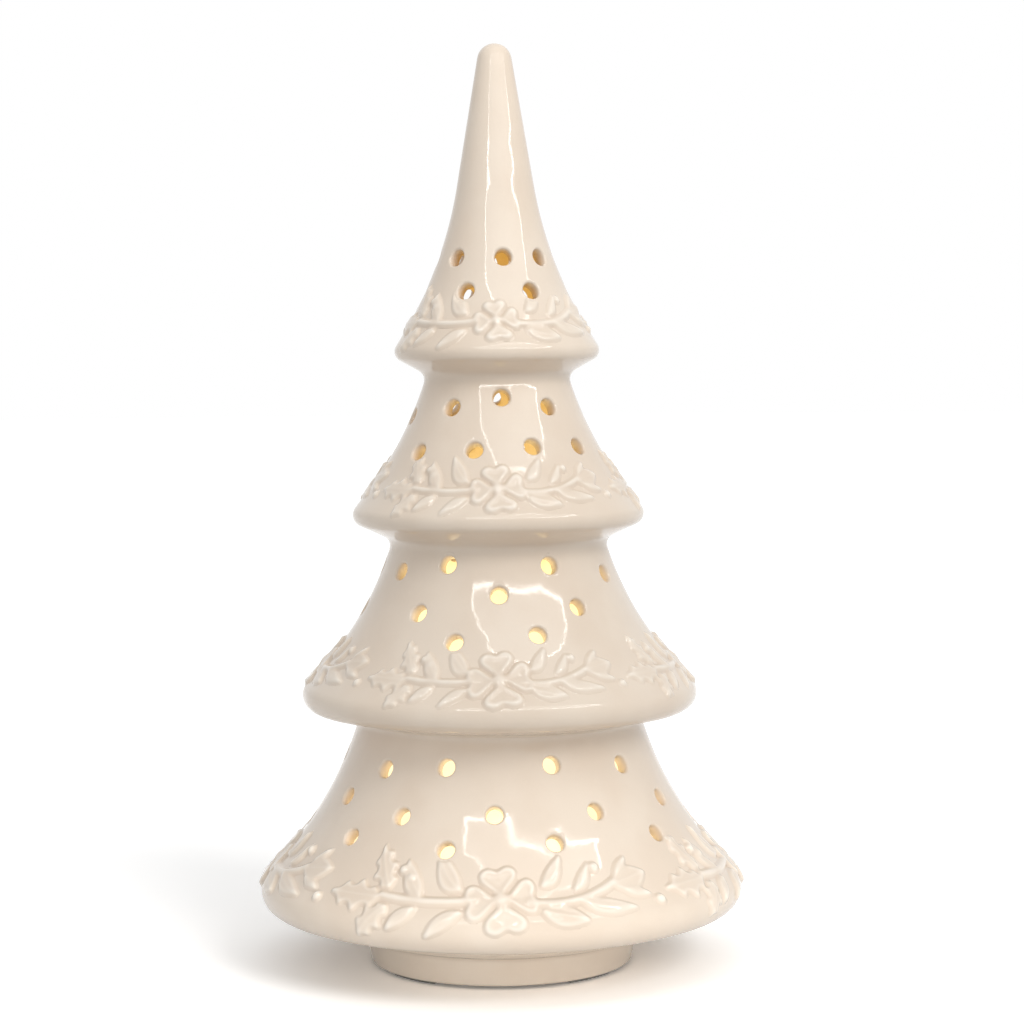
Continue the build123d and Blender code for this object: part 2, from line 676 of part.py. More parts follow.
def light_cup():
    cup = disc(CUP_RADIUS, UNIT_RECESS, CUP_TOP - UNIT_RECESS)
    cup += disc(GRIP_REACH, UNIT_RECESS, FLANGE_HEIGHT)
    cup -= disc(CUP_INSIDE, FLOOR_TOP, CUP_TOP - FLOOR_TOP)
    cup -= ring(CUP_RADIUS - GRIP_GROOVE, FOOT_BORE_RADIUS, GRIP_BOTTOM, GRIP_HEIGHT)
    outside_length = BAY_LENGTH + 2 * BAY_WALL
    outside_width = BAY_WIDTH + 2 * BAY_WALL
    outside = block(outside_length, outside_width, BAY_ROOF - UNIT_RECESS, 0, BAY_OFFSET, UNIT_RECESS)
    cup += outside & disc(CUP_RADIUS - GRIP_GROOVE, UNIT_RECESS, BAY_ROOF)
    ear_x = BARREL_LENGTH / 2 + DOOR_GAP + EAR_WIDTH / 2
    ear_height = HINGE_Z + EAR_REACH - UNIT_RECESS
    boss_height = SWITCH_BOTTOM - UNIT_RECESS
    for side in (1, -1):
        cup += block(EAR_WIDTH, 2 * EAR_REACH, ear_height, side * ear_x, HINGE_Y, UNIT_RECESS)
        cup += disc(SWITCH_BOSS_RADIUS, UNIT_RECESS, boss_height, side * SWITCH_EAR_X, SWITCH_Y)
    for x, y in deck_screw_places():
        cup += disc(DECK_BOSS_RADIUS, UNIT_RECESS, CUP_TOP - UNIT_RECESS, x, y)
    cup -= block(BAY_LENGTH, BAY_WIDTH, BAY_TOP - UNIT_RECESS, 0, BAY_OFFSET, UNIT_RECESS)
    cup -= block(DOOR_RECESS_LENGTH, DOOR_FAR - DOOR_NEAR, CUP_FLOOR, 0, BAY_OFFSET, UNIT_RECESS)
    barrel_room = BARREL_RADIUS + DOOR_GAP
    room_length = BARREL_LENGTH + 2 * DOOR_GAP
    cup -= hinge_rod(barrel_room, room_length)
    cup -= block(room_length, 2 * barrel_room, HINGE_Z - UNIT_RECESS, 0, HINGE_Y, UNIT_RECESS)
    cup -= hinge_rod(PIN_RADIUS + PIN_CLEARANCE, room_length + 2 * EAR_WIDTH)
    slot_length = KNOB_LENGTH + KNOB_TRAVEL + 2 * KNOB_GAP
    cup -= block(slot_length, KNOB_WIDTH + 2 * KNOB_GAP, CUP_FLOOR, 0, SWITCH_Y, UNIT_RECESS)
    for side in (1, -1):
        depth = SWITCH_SCREW_LENGTH - SWITCH_EAR_THICKNESS
        cup -= disc(
            SWITCH_SCREW_RADIUS + SEAT_GAP, SWITCH_BOTTOM - depth - SEAT_GAP, depth + SEAT_GAP,
            side * SWITCH_EAR_X, SWITCH_Y,
        )
    for x, y in deck_screw_places():
        depth = DECK_SCREW_LENGTH - DECK_THICKNESS + SEAT_GAP
        cup -= disc(DECK_SCREW_RADIUS + SEAT_GAP, CUP_TOP - depth, depth, x, y)
    for x, count in ((-1, 0), (1, CELL_COUNT - 1)):
        tab_x = x * (BAY_LENGTH - CONTACT_THICKNESS) / 2
        slot = CONTACT_THICKNESS + 2 * CONTACT_TAB_GAP
        slot_width = CONTACT_TAB_WIDTH + 2 * CONTACT_TAB_GAP
        cup -= block(slot, slot_width, BAY_WALL, tab_x, cell_y(count), BAY_TOP)
    return cup


def grip_ring():
    inner = CUP_RADIUS - GRIP_GROOVE + SEAT_GAP
    height = GRIP_HEIGHT - 2 * SEAT_GAP
    bottom = GRIP_BOTTOM + SEAT_GAP
    grip = ring(inner, inner + GRIP_BAND, bottom, height)
    for count in range(GRIP_FINS):
        level = bottom + height * (count + 0.5) / GRIP_FINS
        grip += ring(inner, GRIP_REACH, level - GRIP_FIN / 2, GRIP_FIN)
    return grip


# Cells and contacts

def cell(count):
    """One cell on its side. The middle one lies the other way round."""
    towards = -1 if count % 2 else 1
    body_length = CELL_LENGTH - CELL_NUB_LENGTH
    body = Cylinder(CELL_DIAMETER / 2, body_length, align=(Align.CENTER, Align.CENTER, Align.MIN))
    body = fillet(body.edges().filter_by(GeomType.CIRCLE), CELL_GAP)
    nub = Cylinder(CELL_NUB_RADIUS, CELL_LENGTH, align=(Align.CENTER, Align.CENTER, Align.MIN))
    start = towards * (-BAY_LENGTH / 2 + LEAF_SPRING_DEPTH + SEAT_GAP)
    return Pos(start, cell_y(count), CELL_LEVEL) * Rot(0, 90 * towards, 0) * (body + nub)


def contact_plate(side, first, last):
    """Flat plate against an end wall of the bay, across these cells."""
    width = (last - first) * CELL_PITCH + CONTACT_WIDTH
    middle = (cell_y(first) + cell_y(last)) / 2
    x = side * (BAY_LENGTH - CONTACT_THICKNESS) / 2
    return block(CONTACT_THICKNESS, width, CONTACT_HEIGHT, x, middle, CELL_LEVEL - CONTACT_HEIGHT / 2)


def contact_spring(side, count):
    """Bowed leaf that presses on the flat end of a cell."""
    foot = CONTACT_THICKNESS / 2
    inner_half = SPRING_HEIGHT / 2 - CONTACT_THICKNESS
    inner_depth = LEAF_SPRING_DEPTH - CONTACT_THICKNESS
    half = SPRING_HEIGHT / 2
    bow = make_face([
        ThreePointArc((foot, -half), (LEAF_SPRING_DEPTH, 0), (foot, half)),
        Line((foot, half), (foot, inner_half)),
        ThreePointArc((foot, inner_half), (inner_depth, 0), (foot, -inner_half)),
        Line((foot, -inner_half), (foot, -half)),
    ])
    leaf = extrude(Plane.XZ * bow, SPRING_WIDTH / 2, both=True)
    turn = 180 if side > 0 else 0
    return Pos(side * BAY_LENGTH / 2, cell_y(count), CELL_LEVEL) * Rot(0, 0, turn) * leaf


def contact_tab(side, count):
    """Solder tab that stands up through the roof of the bay."""
    x = side * (BAY_LENGTH - CONTACT_THICKNESS) / 2
    return block(
        CONTACT_THICKNESS, CONTACT_TAB_WIDTH, BAY_ROOF + CONTACT_TAB_HEIGHT - CELL_LEVEL,
        x, cell_y(count), CELL_LEVEL,
    )


def contact_negative():
    return contact_plate(-1, 0, 0) + contact_spring(-1, 0) + contact_tab(-1, 0)


def contact_positive():
    last = CELL_COUNT - 1
    return contact_plate(1, last, last) + contact_tab(1, last)


def contact_bridge_right():
    return contact_plate(1, 0, 1) + contact_spring(1, 1)


def contact_bridge_left():
    return contact_plate(-1, 1, 2) + contact_spring(-1, 2)


# Battery door

def battery_door():
    length = DOOR_RECESS_LENGTH - 2 * DOOR_GAP
    far = DOOR_FAR - DOOR_GAP
    near = HINGE_Y + sqrt(2) * BARREL_RADIUS + DOOR_GAP
    thickness = CUP_FLOOR - DOOR_SEAT
    panel = block(length, far - near, thickness, 0, (far + near) / 2, UNIT_RECESS)
    strip = block(BARREL_LENGTH, near - HINGE_Y, thickness, 0, (near + HINGE_Y) / 2, UNIT_RECESS)
    door = panel + strip + hinge_rod(BARREL_RADIUS, BARREL_LENGTH)
    door += hinge_rod(PIN_RADIUS, BARREL_LENGTH + 2 * (DOOR_GAP + PIN_LENGTH))
    latch_y = far - LATCH_LENGTH / 2
    for side in (1, -1):
        door -= block(LATCH_SLIT, LATCH_LENGTH, CUP_FLOOR, side * LATCH_WIDTH / 2, latch_y, UNIT_RECESS)
    door -= disc(THUMB_RADIUS, UNIT_RECESS, THUMB_DEPTH, 0, latch_y)
    return door


# Slide switch

def switch_body():
    body = block(SWITCH_LENGTH, SWITCH_WIDTH, SWITCH_HEIGHT, 0, SWITCH_Y, SWITCH_BOTTOM)
    over_ears = SWITCH_LENGTH + 2 * SWITCH_EAR_LENGTH
    body += block(over_ears, SWITCH_WIDTH, SWITCH_EAR_THICKNESS, 0, SWITCH_Y, SWITCH_BOTTOM)
    track = KNOB_STEM + KNOB_TRAVEL + 2 * KNOB_GAP
    body -= block(track, KNOB_STEM + 2 * KNOB_GAP, KNOB_STEM_DEPTH + KNOB_GAP, 0, SWITCH_Y, SWITCH_BOTTOM)
    for side in (1, -1):
        hole = SWITCH_SCREW_RADIUS + SEAT_GAP
        body -= disc(hole, SWITCH_BOTTOM, SWITCH_EAR_THICKNESS, side * SWITCH_EAR_X, SWITCH_Y)
    return body


def switch_screws():
    screws = []
    seat = SWITCH_BOTTOM + SWITCH_EAR_THICKNESS
    for side in (1, -1):
        x = side * SWITCH_EAR_X
        shank = disc(SWITCH_SCREW_RADIUS, seat - SWITCH_SCREW_LENGTH, SWITCH_SCREW_LENGTH, x, SWITCH_Y)
        screws.append(shank + disc(SWITCH_SCREW_HEAD_RADIUS, seat, SWITCH_SCREW_HEAD, x, SWITCH_Y))
    return screws


def switch_pin_x(count):
    return (count - (SWITCH_PIN_COUNT - 1) / 2) * SWITCH_PIN_SPACING


def switch_pins():
    return [
        block(
            SWITCH_PIN_WIDTH, SWITCH_PIN_THICKNESS, SWITCH_PIN_HEIGHT,
            switch_pin_x(count), SWITCH_Y, SWITCH_TOP,
        )
        for count in range(SWITCH_PIN_COUNT)
    ]


def switch_knob():
    bottom = UNIT_RECESS - KNOB_PROUD
    top = SWITCH_BOTTOM - KNOB_GAP
    knob = block(KNOB_LENGTH, KNOB_WIDTH, top - bottom, KNOB_REST, SWITCH_Y, bottom)
    stem_height = KNOB_GAP + KNOB_STEM_DEPTH
    return knob + block(KNOB_STEM, KNOB_STEM, stem_height, KNOB_REST, SWITCH_Y, top)


# Deck, board and diffuser

def light_deck():
    deck = disc(CUP_RADIUS, CUP_TOP, DECK_THICKNESS)
    deck += ring(DIFFUSER_SEAT, DIFFUSER_SEAT + DIFFUSER_RING_WALL, DECK_TOP, DIFFUSER_RING_HEIGHT)
    for x, y in board_screw_places():
        deck += disc(BOARD_BOSS_RADIUS, CUP_TOP - BOARD_BOSS_HEIGHT, BOARD_BOSS_HEIGHT, x, y)
        depth = BOARD_SCREW_LENGTH - BOARD_THICKNESS + SEAT_GAP
        deck -= disc(BOARD_SCREW_RADIUS + SEAT_GAP, DECK_TOP - depth, depth, x, y)
    for x, y in deck_screw_places():
        deck -= disc(DECK_SCREW_RADIUS + FIT_GAP, CUP_TOP, DECK_THICKNESS, x, y)
    for x, y in lead_hole_places():
        deck -= disc(LEAD_HOLE_RADIUS, CUP_TOP, DECK_THICKNESS, x, y)
    return deck


def deck_screws():
    screws = []
    for x, y in deck_screw_places():
        shank = disc(DECK_SCREW_RADIUS, DECK_TOP - DECK_SCREW_LENGTH, DECK_SCREW_LENGTH, x, y)
        screws.append(shank + disc(DECK_SCREW_HEAD_RADIUS, DECK_TOP, DECK_SCREW_HEAD, x, y))
    return screws


def led_board():
    board = disc(BOARD_RADIUS, DECK_TOP, BOARD_THICKNESS)
    for x, y in board_screw_places():
        board -= disc(BOARD_SCREW_RADIUS + FIT_GAP, DECK_TOP, BOARD_THICKNESS, x, y)
    return board


def board_screws():
    screws = []
    for x, y in board_screw_places():
        shank = disc(BOARD_SCREW_RADIUS, BOARD_TOP - BOARD_SCREW_LENGTH, BOARD_SCREW_LENGTH, x, y)
        screws.append(shank + disc(BOARD_SCREW_HEAD_RADIUS, BOARD_TOP, BOARD_SCREW_HEAD, x, y))
    return screws


def leds():
    lamp = block(LED_SIZE, LED_SIZE, LED_CASE_HEIGHT, 0, 0, BOARD_TOP)
    lamp += disc(LED_LENS_RADIUS, BOARD_TOP + LED_CASE_HEIGHT, LED_LENS_HEIGHT)
    step = 360 / LED_RING_COUNT
    out = Pos(LED_RING_RADIUS, 0, 0) * lamp
    around = [Rot(0, 0, 90 + count * step) * out for count in range(LED_RING_COUNT)]
    return [lamp] + around


def diffuser_section(radius, bottom):
    """Half section of a skirt with a round cap over it."""
    cap_centre = DECK_TOP + DIFFUSER_SKIRT
    shoulder = Vector(radius, cap_centre)
    crown = Vector(0, cap_centre + radius)
    middle = Vector(radius * cos(pi / 4), cap_centre + radius * sin(pi / 4))
    foot = Vector(radius, bottom)
    centre = Vector(0, bottom)
    return make_face([
        Line(centre, foot),
        Line(foot, shoulder),
        ThreePointArc(shoulder, middle, crown),
        Line(crown, centre),
    ])


def diffuser():
    section = diffuser_section(DIFFUSER_RADIUS, DECK_TOP)
    section -= diffuser_section(DIFFUSER_RADIUS - DIFFUSER_WALL, DECK_TOP)
    flange = ring(
        DIFFUSER_RADIUS - DIFFUSER_WALL, DIFFUSER_RADIUS + DIFFUSER_FLANGE,
        DECK_TOP, DIFFUSER_FLANGE_HEIGHT,
    )
    return revolve_section(section) + flange


# Leads inside the housing

def lead(points):
    """Insulated wire along straight runs with round bends."""
    path = FilletPolyline(*points, radius=LEAD_BEND)
    start = path @ 0
    section = Plane(origin=start, z_dir=path % 0) * Circle(LEAD_RADIUS)
    return sweep(section, path)


def lead_negative():
    tab = -BAY_LENGTH / 2 + CONTACT_THICKNESS
    hole_x, hole_y = lead_hole_places()[0]
    return lead([
        (tab, cell_y(0), LEAD_LEVEL),
        (LEAD_FIRST_BEND * tab, cell_y(0), LEAD_LEVEL),
        (hole_x, hole_y, LEAD_LEVEL),
        (hole_x, hole_y, DECK_TOP),
    ])


def lead_positive():
    tab = BAY_LENGTH / 2 - CONTACT_THICKNESS
    pin_top = SWITCH_TOP + SWITCH_PIN_HEIGHT
    pin_x = switch_pin_x(SWITCH_PIN_COUNT - 1)
    turn_x = LEAD_SIDE_RUN * tab
    return lead([
        (tab, cell_y(CELL_COUNT - 1), LEAD_LEVEL),
        (turn_x, cell_y(CELL_COUNT - 1), LEAD_LEVEL),
        (turn_x, DOOR_NEAR, LEAD_LEVEL),
        (pin_x, SWITCH_Y, LEAD_LEVEL),
        (pin_x, SWITCH_Y, pin_top),
    ])


def lead_switched():
    pin_top = SWITCH_TOP + SWITCH_PIN_HEIGHT
    pin_x = switch_pin_x(0)
    hole_x, hole_y = lead_hole_places()[1]
    return lead([
        (pin_x, SWITCH_Y, pin_top),
        (pin_x, SWITCH_Y, LEAD_LEVEL),
        (pin_x, DOOR_NEAR, LEAD_LEVEL),
        (hole_x, hole_y, LEAD_LEVEL),
        (hole_x, hole_y, DECK_TOP),
    ])


NODES = {
    **shell_nodes(),
    "felt_pads": felt_pads(),
    "light_cup": light_cup(),
    "grip_ring": grip_ring(),
    "battery_door": battery_door(),
    "contact_negative": contact_negative(),
    "contact_positive": contact_positive(),
    "contact_bridge_left": contact_bridge_left(),
    "contact_bridge_right": contact_bridge_right(),
    "switch_body": switch_body(),
    "switch_screws": switch_screws(),
    "switch_pins": switch_pins(),
    "switch_knob": switch_knob(),
    "light_deck": light_deck(),
    "deck_screws": deck_screws(),
    "led_board": led_board(),
    "board_screws": board_screws(),
    "leds": leds(),
    "diffuser": diffuser(),
    "lead_negative": lead_negative(),
    "lead_positive": lead_positive(),
    "lead_switched": lead_switched(),
}
for count in range(CELL_COUNT):
    NODES[f"cell_{count + 1}"] = cell(count)
for count in range(len(TIERS)):
    NODES[f"garland_{count + 1}"] = garland(count)

os.makedirs("parts", exist_ok=True)
for name, shape in NODES.items():
    solid = Compound(children=shape) if isinstance(shape, list) else shape
    export_step(solid, f"parts/{name}.step")
    print(name, "volume", round(solid.volume, 1))
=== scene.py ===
# %% [markdown]
# # A lit ceramic Christmas tree
# The tree is one slip-cast, glazed shell: four flared tiers over a round foot, pierced with light holes and
# decorated with a low relief of flowers and leaves. A battery light unit sits in the foot.
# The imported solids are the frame. This script dresses them: the shell and the relief are modelled again with
# soft glazed edges, and the light unit's solids keep their shapes and get finished materials.

# %% Load the frame
import math

import bmesh
import bpy
import numpy as np
from mathutils import Matrix, Vector
from mathutils.kdtree import KDTree


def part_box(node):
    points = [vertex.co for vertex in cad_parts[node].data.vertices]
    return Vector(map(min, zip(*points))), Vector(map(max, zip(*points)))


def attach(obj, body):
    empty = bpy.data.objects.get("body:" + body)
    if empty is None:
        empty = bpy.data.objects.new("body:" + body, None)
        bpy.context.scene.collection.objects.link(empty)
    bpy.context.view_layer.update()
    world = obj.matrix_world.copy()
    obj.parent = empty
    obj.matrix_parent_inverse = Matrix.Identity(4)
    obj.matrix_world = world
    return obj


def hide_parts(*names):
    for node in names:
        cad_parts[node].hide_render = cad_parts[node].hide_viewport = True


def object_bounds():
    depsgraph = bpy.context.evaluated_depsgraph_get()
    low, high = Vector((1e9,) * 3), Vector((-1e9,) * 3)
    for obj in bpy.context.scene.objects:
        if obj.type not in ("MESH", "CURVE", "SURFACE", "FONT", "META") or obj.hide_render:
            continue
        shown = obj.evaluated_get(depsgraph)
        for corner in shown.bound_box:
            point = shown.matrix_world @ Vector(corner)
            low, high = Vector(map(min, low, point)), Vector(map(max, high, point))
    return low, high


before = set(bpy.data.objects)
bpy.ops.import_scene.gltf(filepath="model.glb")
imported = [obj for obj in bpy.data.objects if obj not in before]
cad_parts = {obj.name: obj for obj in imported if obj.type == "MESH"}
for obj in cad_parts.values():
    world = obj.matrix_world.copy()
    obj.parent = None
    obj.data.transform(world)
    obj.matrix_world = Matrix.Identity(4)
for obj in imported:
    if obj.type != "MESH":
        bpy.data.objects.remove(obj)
cad_low, cad_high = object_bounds()
MM = 0.001
TREE_HEIGHT = cad_high.z
print("frame loaded:", len(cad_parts), "nodes, height", round(TREE_HEIGHT, 4))

# %% [markdown]
# ## The camera
# The tree is seen from the front, a little above its middle, with a long lens. The camera is set from
# the picture's own perspective: how round the ellipses of the brims look gives its height and distance.
# A small roll makes the tree lean as it does there, and a small shift puts its axis left of the middle.

# %% Camera
CAMERA_PLACE = Vector((0.0, -0.875, 0.206))
CAMERA_LENS = 94.2
CAMERA_PITCH = math.radians(3.79)
CAMERA_ROLL = math.radians(-0.49)
CAMERA_SHIFT = 0.0135

camera_data = bpy.data.cameras.new("camera")
camera_data.lens = CAMERA_LENS
camera_data.sensor_width = 36.0
camera_data.shift_x = CAMERA_SHIFT
camera = bpy.data.objects.new("camera", camera_data)
tilt = Matrix.Rotation(math.pi / 2 - CAMERA_PITCH, 4, "X") @ Matrix.Rotation(CAMERA_ROLL, 4, "Z")
camera.matrix_world = Matrix.Translation(CAMERA_PLACE) @ tilt
bpy.context.collection.objects.link(camera)
bpy.context.scene.camera = camera
print("camera at", tuple(round(v, 3) for v in CAMERA_PLACE))

# %% [markdown]
# ## The wall in section
# Every tier has the same kind of wall: an arc that leaves the neck steeply, a straight flank, and a thick
# rounded brim that turns under. The frame gives each tier's widest radius and the heights of the waists,
# which lie a little higher here, as in the picture. The other proportions are shares of these. A distance up
# the slope from the top of the brim's round then names any place on the wall, for the relief and the holes.

# %% Wall sections
WALL = 4.0 * MM
INSIDE_ROUND = 1.0 * MM
HALVINGS = 40
WAIST_RISE = [0.0, 3.2 * MM, 3.2 * MM, 5.0 * MM]
BRIM_HEIGHT_SHARE = [0.669, 0.4923, 0.297, 0.084]
EDGE_SHARE = [0.102, 0.08, 0.082, 0.086]
NECK_SHARE = [0.374, 0.692, 0.732, 0.717]
NECK_BEND = [0.449, 0.602, 0.532, 0.55]
FLANK_BEND = [1.51, 1.342, 1.421, 1.417]
SPIRE_SHARE = 0.46
SHELL_NODES = [f"shell_{count + 1}" for count in range(4)] + ["shell_foot"]


def direction(lean):
    """Outward normal, as radius and height, of a wall with this lean."""
    return Vector((math.cos(lean), math.sin(lean)))


class TierWall:
    """The section of one tier."""

    def __init__(self, index, brims):
        brim = brims[index]
        if index:
            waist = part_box(SHELL_NODES[index])[1].z + WAIST_RISE[index]
            self.neck = Vector((NECK_SHARE[index] * brims[index - 1].x, waist))
        else:
            self.neck = Vector((NECK_SHARE[0] * brim.x, TREE_HEIGHT - SPIRE_SHARE * (TREE_HEIGHT - brim.y)))
        straight = math.atan2(brim.x - self.neck.x, self.neck.y - brim.y)
        self.brim = brim
        self.neck_lean = NECK_BEND[index] * straight
        self.flank_lean = FLANK_BEND[index] * straight
        self.edge_radius = EDGE_SHARE[index] * brim.x
        self.edge_centre = Vector((brim.x - self.edge_radius, brim.y))
        self.flank_normal = direction(self.flank_lean)
        self.up_slope = Vector((-self.flank_normal.y, self.flank_normal.x))
        self.edge_top = self.edge_centre + self.flank_normal * self.edge_radius
        neck_normal = direction(self.neck_lean)
        reach = (self.neck - self.edge_top).dot(self.flank_normal)
        self.arc_radius = reach / (1 - neck_normal.dot(self.flank_normal))
        self.arc_centre = self.neck + neck_normal * self.arc_radius
        flank_top = self.arc_centre - self.flank_normal * self.arc_radius
        self.flank_length = (flank_top - self.edge_top).dot(self.up_slope)
        self.slope_length = self.flank_length + self.arc_radius * (self.flank_lean - self.neck_lean)

    def at_slope(self, slope, lift=0.0):
        """Point and lean of the wall at this distance up the slope, lifted off it."""
        if slope < 0:
            lean = self.flank_lean + slope / self.edge_radius
            return self.edge_centre + direction(lean) * (self.edge_radius + lift), lean
        if slope <= self.flank_length:
            return self.edge_top + self.up_slope * slope + self.flank_normal * lift, self.flank_lean
        lean = self.flank_lean - (slope - self.flank_length) / self.arc_radius
        return self.arc_centre - direction(lean) * (self.arc_radius - lift), lean

    def at_percent(self, percent):
        """Distance up the slope of a place this far up from the brim to the neck."""
        height = self.brim.y + (self.neck.y - self.brim.y) * percent / 100
        low, high = 0.0, self.slope_length
        for _ in range(HALVINGS):
            middle = (low + high) / 2
            if self.at_slope(middle)[0].y < height:
                low = middle
            else:
                high = middle
        return low

    def underside_lean(self, corner):
        """Lean of the straight underside that runs to this corner."""
        way = corner - self.edge_centre
        return math.atan2(way.y, way.x) + math.acos(self.edge_radius / way.length)


brims = [
    Vector((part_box(node)[1].x, share * TREE_HEIGHT))
    for node, share in zip(SHELL_NODES, BRIM_HEIGHT_SHARE)
]
walls = [TierWall(count, brims) for count in range(4)]
print("brims at", [(round(b.x / MM, 1), round(b.y / MM, 1)) for b in brims])

# %% [markdown]
# ## The shell's outline
# A lathe needs only half of the outside: the spire and its ball, then each tier down to the foot. The corners
# under the brims are filled by the glaze, so they get a small round of their own. The inside follows at the
# thickness of the wall, as in a slip-cast piece. Points lie close together where the line bends, and far
# apart where it is straight.

# %% Outline points
FOOT_EDGE = 0.9 * MM
FOOT_FLARE = 1.8 * MM
FOOT_WALL = 5.8 * MM
NECK_FILLETS = [3.8 * MM, 3.8 * MM, 2.2 * MM, 2.6 * MM]
FILLET_STEPS = 6
SOLID_TIP = 12.0 * MM
FINE_STEP = 0.9 * MM
COARSE_STEP = 2.4 * MM
INSIDE_STEP = 5.0 * MM
INSIDE_ARC_STEPS = 8
foot_low, foot_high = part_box("shell_foot")
FOOT_HEIGHT = foot_high.z
FOOT_BOTTOM = foot_low.z
FOOT_BOTTOM_RADIUS = 42.79 * MM
FOOT_TOP_RADIUS = FOOT_BOTTOM_RADIUS + FOOT_FLARE
BORE_RADIUS = FOOT_BOTTOM_RADIUS - FOOT_WALL
# Where the underside of each tier meets what it stands on
under_corners = [wall.neck for wall in walls[1:]] + [Vector((FOOT_TOP_RADIUS, FOOT_HEIGHT))]


def arc_points(centre, radius, start, end, step):
    """Points along an arc, from one angle to the other."""
    count = max(2, math.ceil(abs(end - start) * radius / step))
    return [centre + direction(start + (end - start) * k / count) * radius for k in range(count + 1)]


def line_points(start, end, step):
    count = max(1, math.ceil((end - start).length / step))
    return [start.lerp(end, k / count) for k in range(count + 1)]


def rounded_corner(before, corner, after, radius):
    """A small round in place of a corner, and how much of its sides it takes up."""
    a = (before - corner).normalized()
    b = (after - corner).normalized()
    half = math.acos(max(-1.0, min(1.0, a.dot(b)))) / 2
    trim = radius / math.tan(half)
    start, end = corner + a * trim, corner + b * trim
    ways = [k / FILLET_STEPS for k in range(FILLET_STEPS + 1)]
    return [start * (1 - t) ** 2 + corner * (2 * t * (1 - t)) + end * t**2 for t in ways], trim


def outside_points():
    """The outside, from the tip down to the inner edge of the foot's ring."""
    top = walls[0]
    lean = top.neck_lean
    spire = TREE_HEIGHT - top.neck.y
    ball = (top.neck.x - spire * math.tan(lean)) * math.cos(lean) / (1 - math.sin(lean))
    ball_centre = Vector((0, TREE_HEIGHT - ball))
    foot_corner = Vector((FOOT_BOTTOM_RADIUS, FOOT_BOTTOM))
    points = arc_points(ball_centre, ball, math.pi / 2, lean, FINE_STEP)
    points += line_points(points[-1], top.neck, 2 * COARSE_STEP)[1:]
    trim = 0.0
    for count, (wall, corner) in enumerate(zip(walls, under_corners)):
        arc = wall.slope_length - trim - wall.flank_length
        steps = math.ceil(arc / COARSE_STEP)
        for k in range(1, steps + 1):
            points.append(wall.at_slope(wall.flank_length + arc * (1 - k / steps))[0])
        points += line_points(points[-1], wall.edge_top, COARSE_STEP)[1:]
        lowest = wall.underside_lean(corner)
        points += arc_points(wall.edge_centre, wall.edge_radius, wall.flank_lean, lowest, FINE_STEP)[1:]
        after = foot_corner
        if count < 3:
            below = walls[count + 1]
            after = below.at_slope(below.slope_length - NECK_FILLETS[count])[0]
        fillet, trim = rounded_corner(points[-1], corner, after, NECK_FILLETS[count])
        points += line_points(points[-1], fillet[0], COARSE_STEP)[1:-1] + fillet
    edge, _ = rounded_corner(points[-1], foot_corner, Vector((BORE_RADIUS, FOOT_BOTTOM)), FOOT_EDGE)
    points += line_points(points[-1], edge[0], COARSE_STEP)[1:-1] + edge
    return points


def inside_points():
    """The hollow, from the bore at the foot up to the ceiling under the tip."""
    points = [Vector((BORE_RADIUS, FOOT_BOTTOM))]
    for count in (3, 2, 1, 0):
        wall = walls[count]
        lean = wall.underside_lean(under_corners[count])
        underside = direction(lean)
        round_radius = max(wall.edge_radius - WALL, INSIDE_ROUND)
        across = wall.flank_normal + underside
        shift = (wall.edge_radius - WALL - round_radius) / (1 + wall.flank_normal.dot(underside))
        centre = wall.edge_centre + across * shift
        low = centre + underside * round_radius
        along = Vector((-underside.y, underside.x))
        start = low + along * ((points[-1].x - low.x) / along.x)
        if count == 3:
            points += line_points(points[-1], start, INSIDE_STEP)[1:]
        points += line_points(start, low, INSIDE_STEP)[1:]
        points += arc_points(centre, round_radius, lean, wall.flank_lean, FINE_STEP)[1:]
        for k in range(1, INSIDE_ARC_STEPS + 1):
            arc = (wall.slope_length - wall.flank_length) * k / INSIDE_ARC_STEPS
            points.append(wall.at_slope(wall.flank_length + arc, -WALL)[0])
    rise = TREE_HEIGHT - SOLID_TIP - points[-1].y
    points.append(Vector((points[-1].x - rise * math.tan(walls[0].neck_lean), points[-1].y + rise)))
    points.append(Vector((0, points[-1].y)))
    return points


outside = outside_points()
inside = inside_points()
print("outline:", len(outside), "points outside,", len(inside), "inside")

# %% [markdown]
# ## Turning the shell
# The closed half outline is spun round the axis, as a plaster mould is turned. A long spin is slow, so one fold
# of the way round is spun, then doubled and merged. The two ends on the axis close into poles. Light holes are
# then cut by a Boolean with one cutter per hole. A potter pierces the holes in soft clay and the glaze rounds
# their lips, so a cutter flares like a trumpet where it leaves the wall, and is bent to the wall's own curve.

# %% Spin the shell
COLUMNS = 224
DOUBLINGS = 5
MERGE = 0.002 * MM


def new_object(name, builder):
    mesh = bpy.data.meshes.new(name)
    builder.to_mesh(mesh)
    builder.free()
    piece = bpy.data.objects.new(name, mesh)
    bpy.context.collection.objects.link(piece)
    return piece


def in_space(point, azimuth):
    """A section point turned to an azimuth from the front, which faces -Y."""
    return Vector((point.x * math.sin(azimuth), -point.x * math.cos(azimuth), point.y))


def spin_up(builder, parts, angle, steps, merge=False):
    bmesh.ops.spin(
        builder, geom=parts, cent=(0, 0, 0), axis=(0, 0, 1), angle=angle, steps=steps,
        use_merge=merge, use_normal_flip=False, use_duplicate=False,
    )


def close_up(builder):
    """Merge the points that meet, and turn the faces outwards."""
    bmesh.ops.remove_doubles(builder, verts=builder.verts, dist=MERGE)
    bmesh.ops.recalc_face_normals(builder, faces=builder.faces)


def string(builder, points):
    """Points in a row, and the edges between them."""
    verts = [builder.verts.new(point) for point in points]
    return verts + [builder.edges.new(pair) for pair in zip(verts, verts[1:])]


def points_of(parts):
    """The points among the parts of a mesh."""
    return [part for part in parts if isinstance(part, bmesh.types.BMVert)]


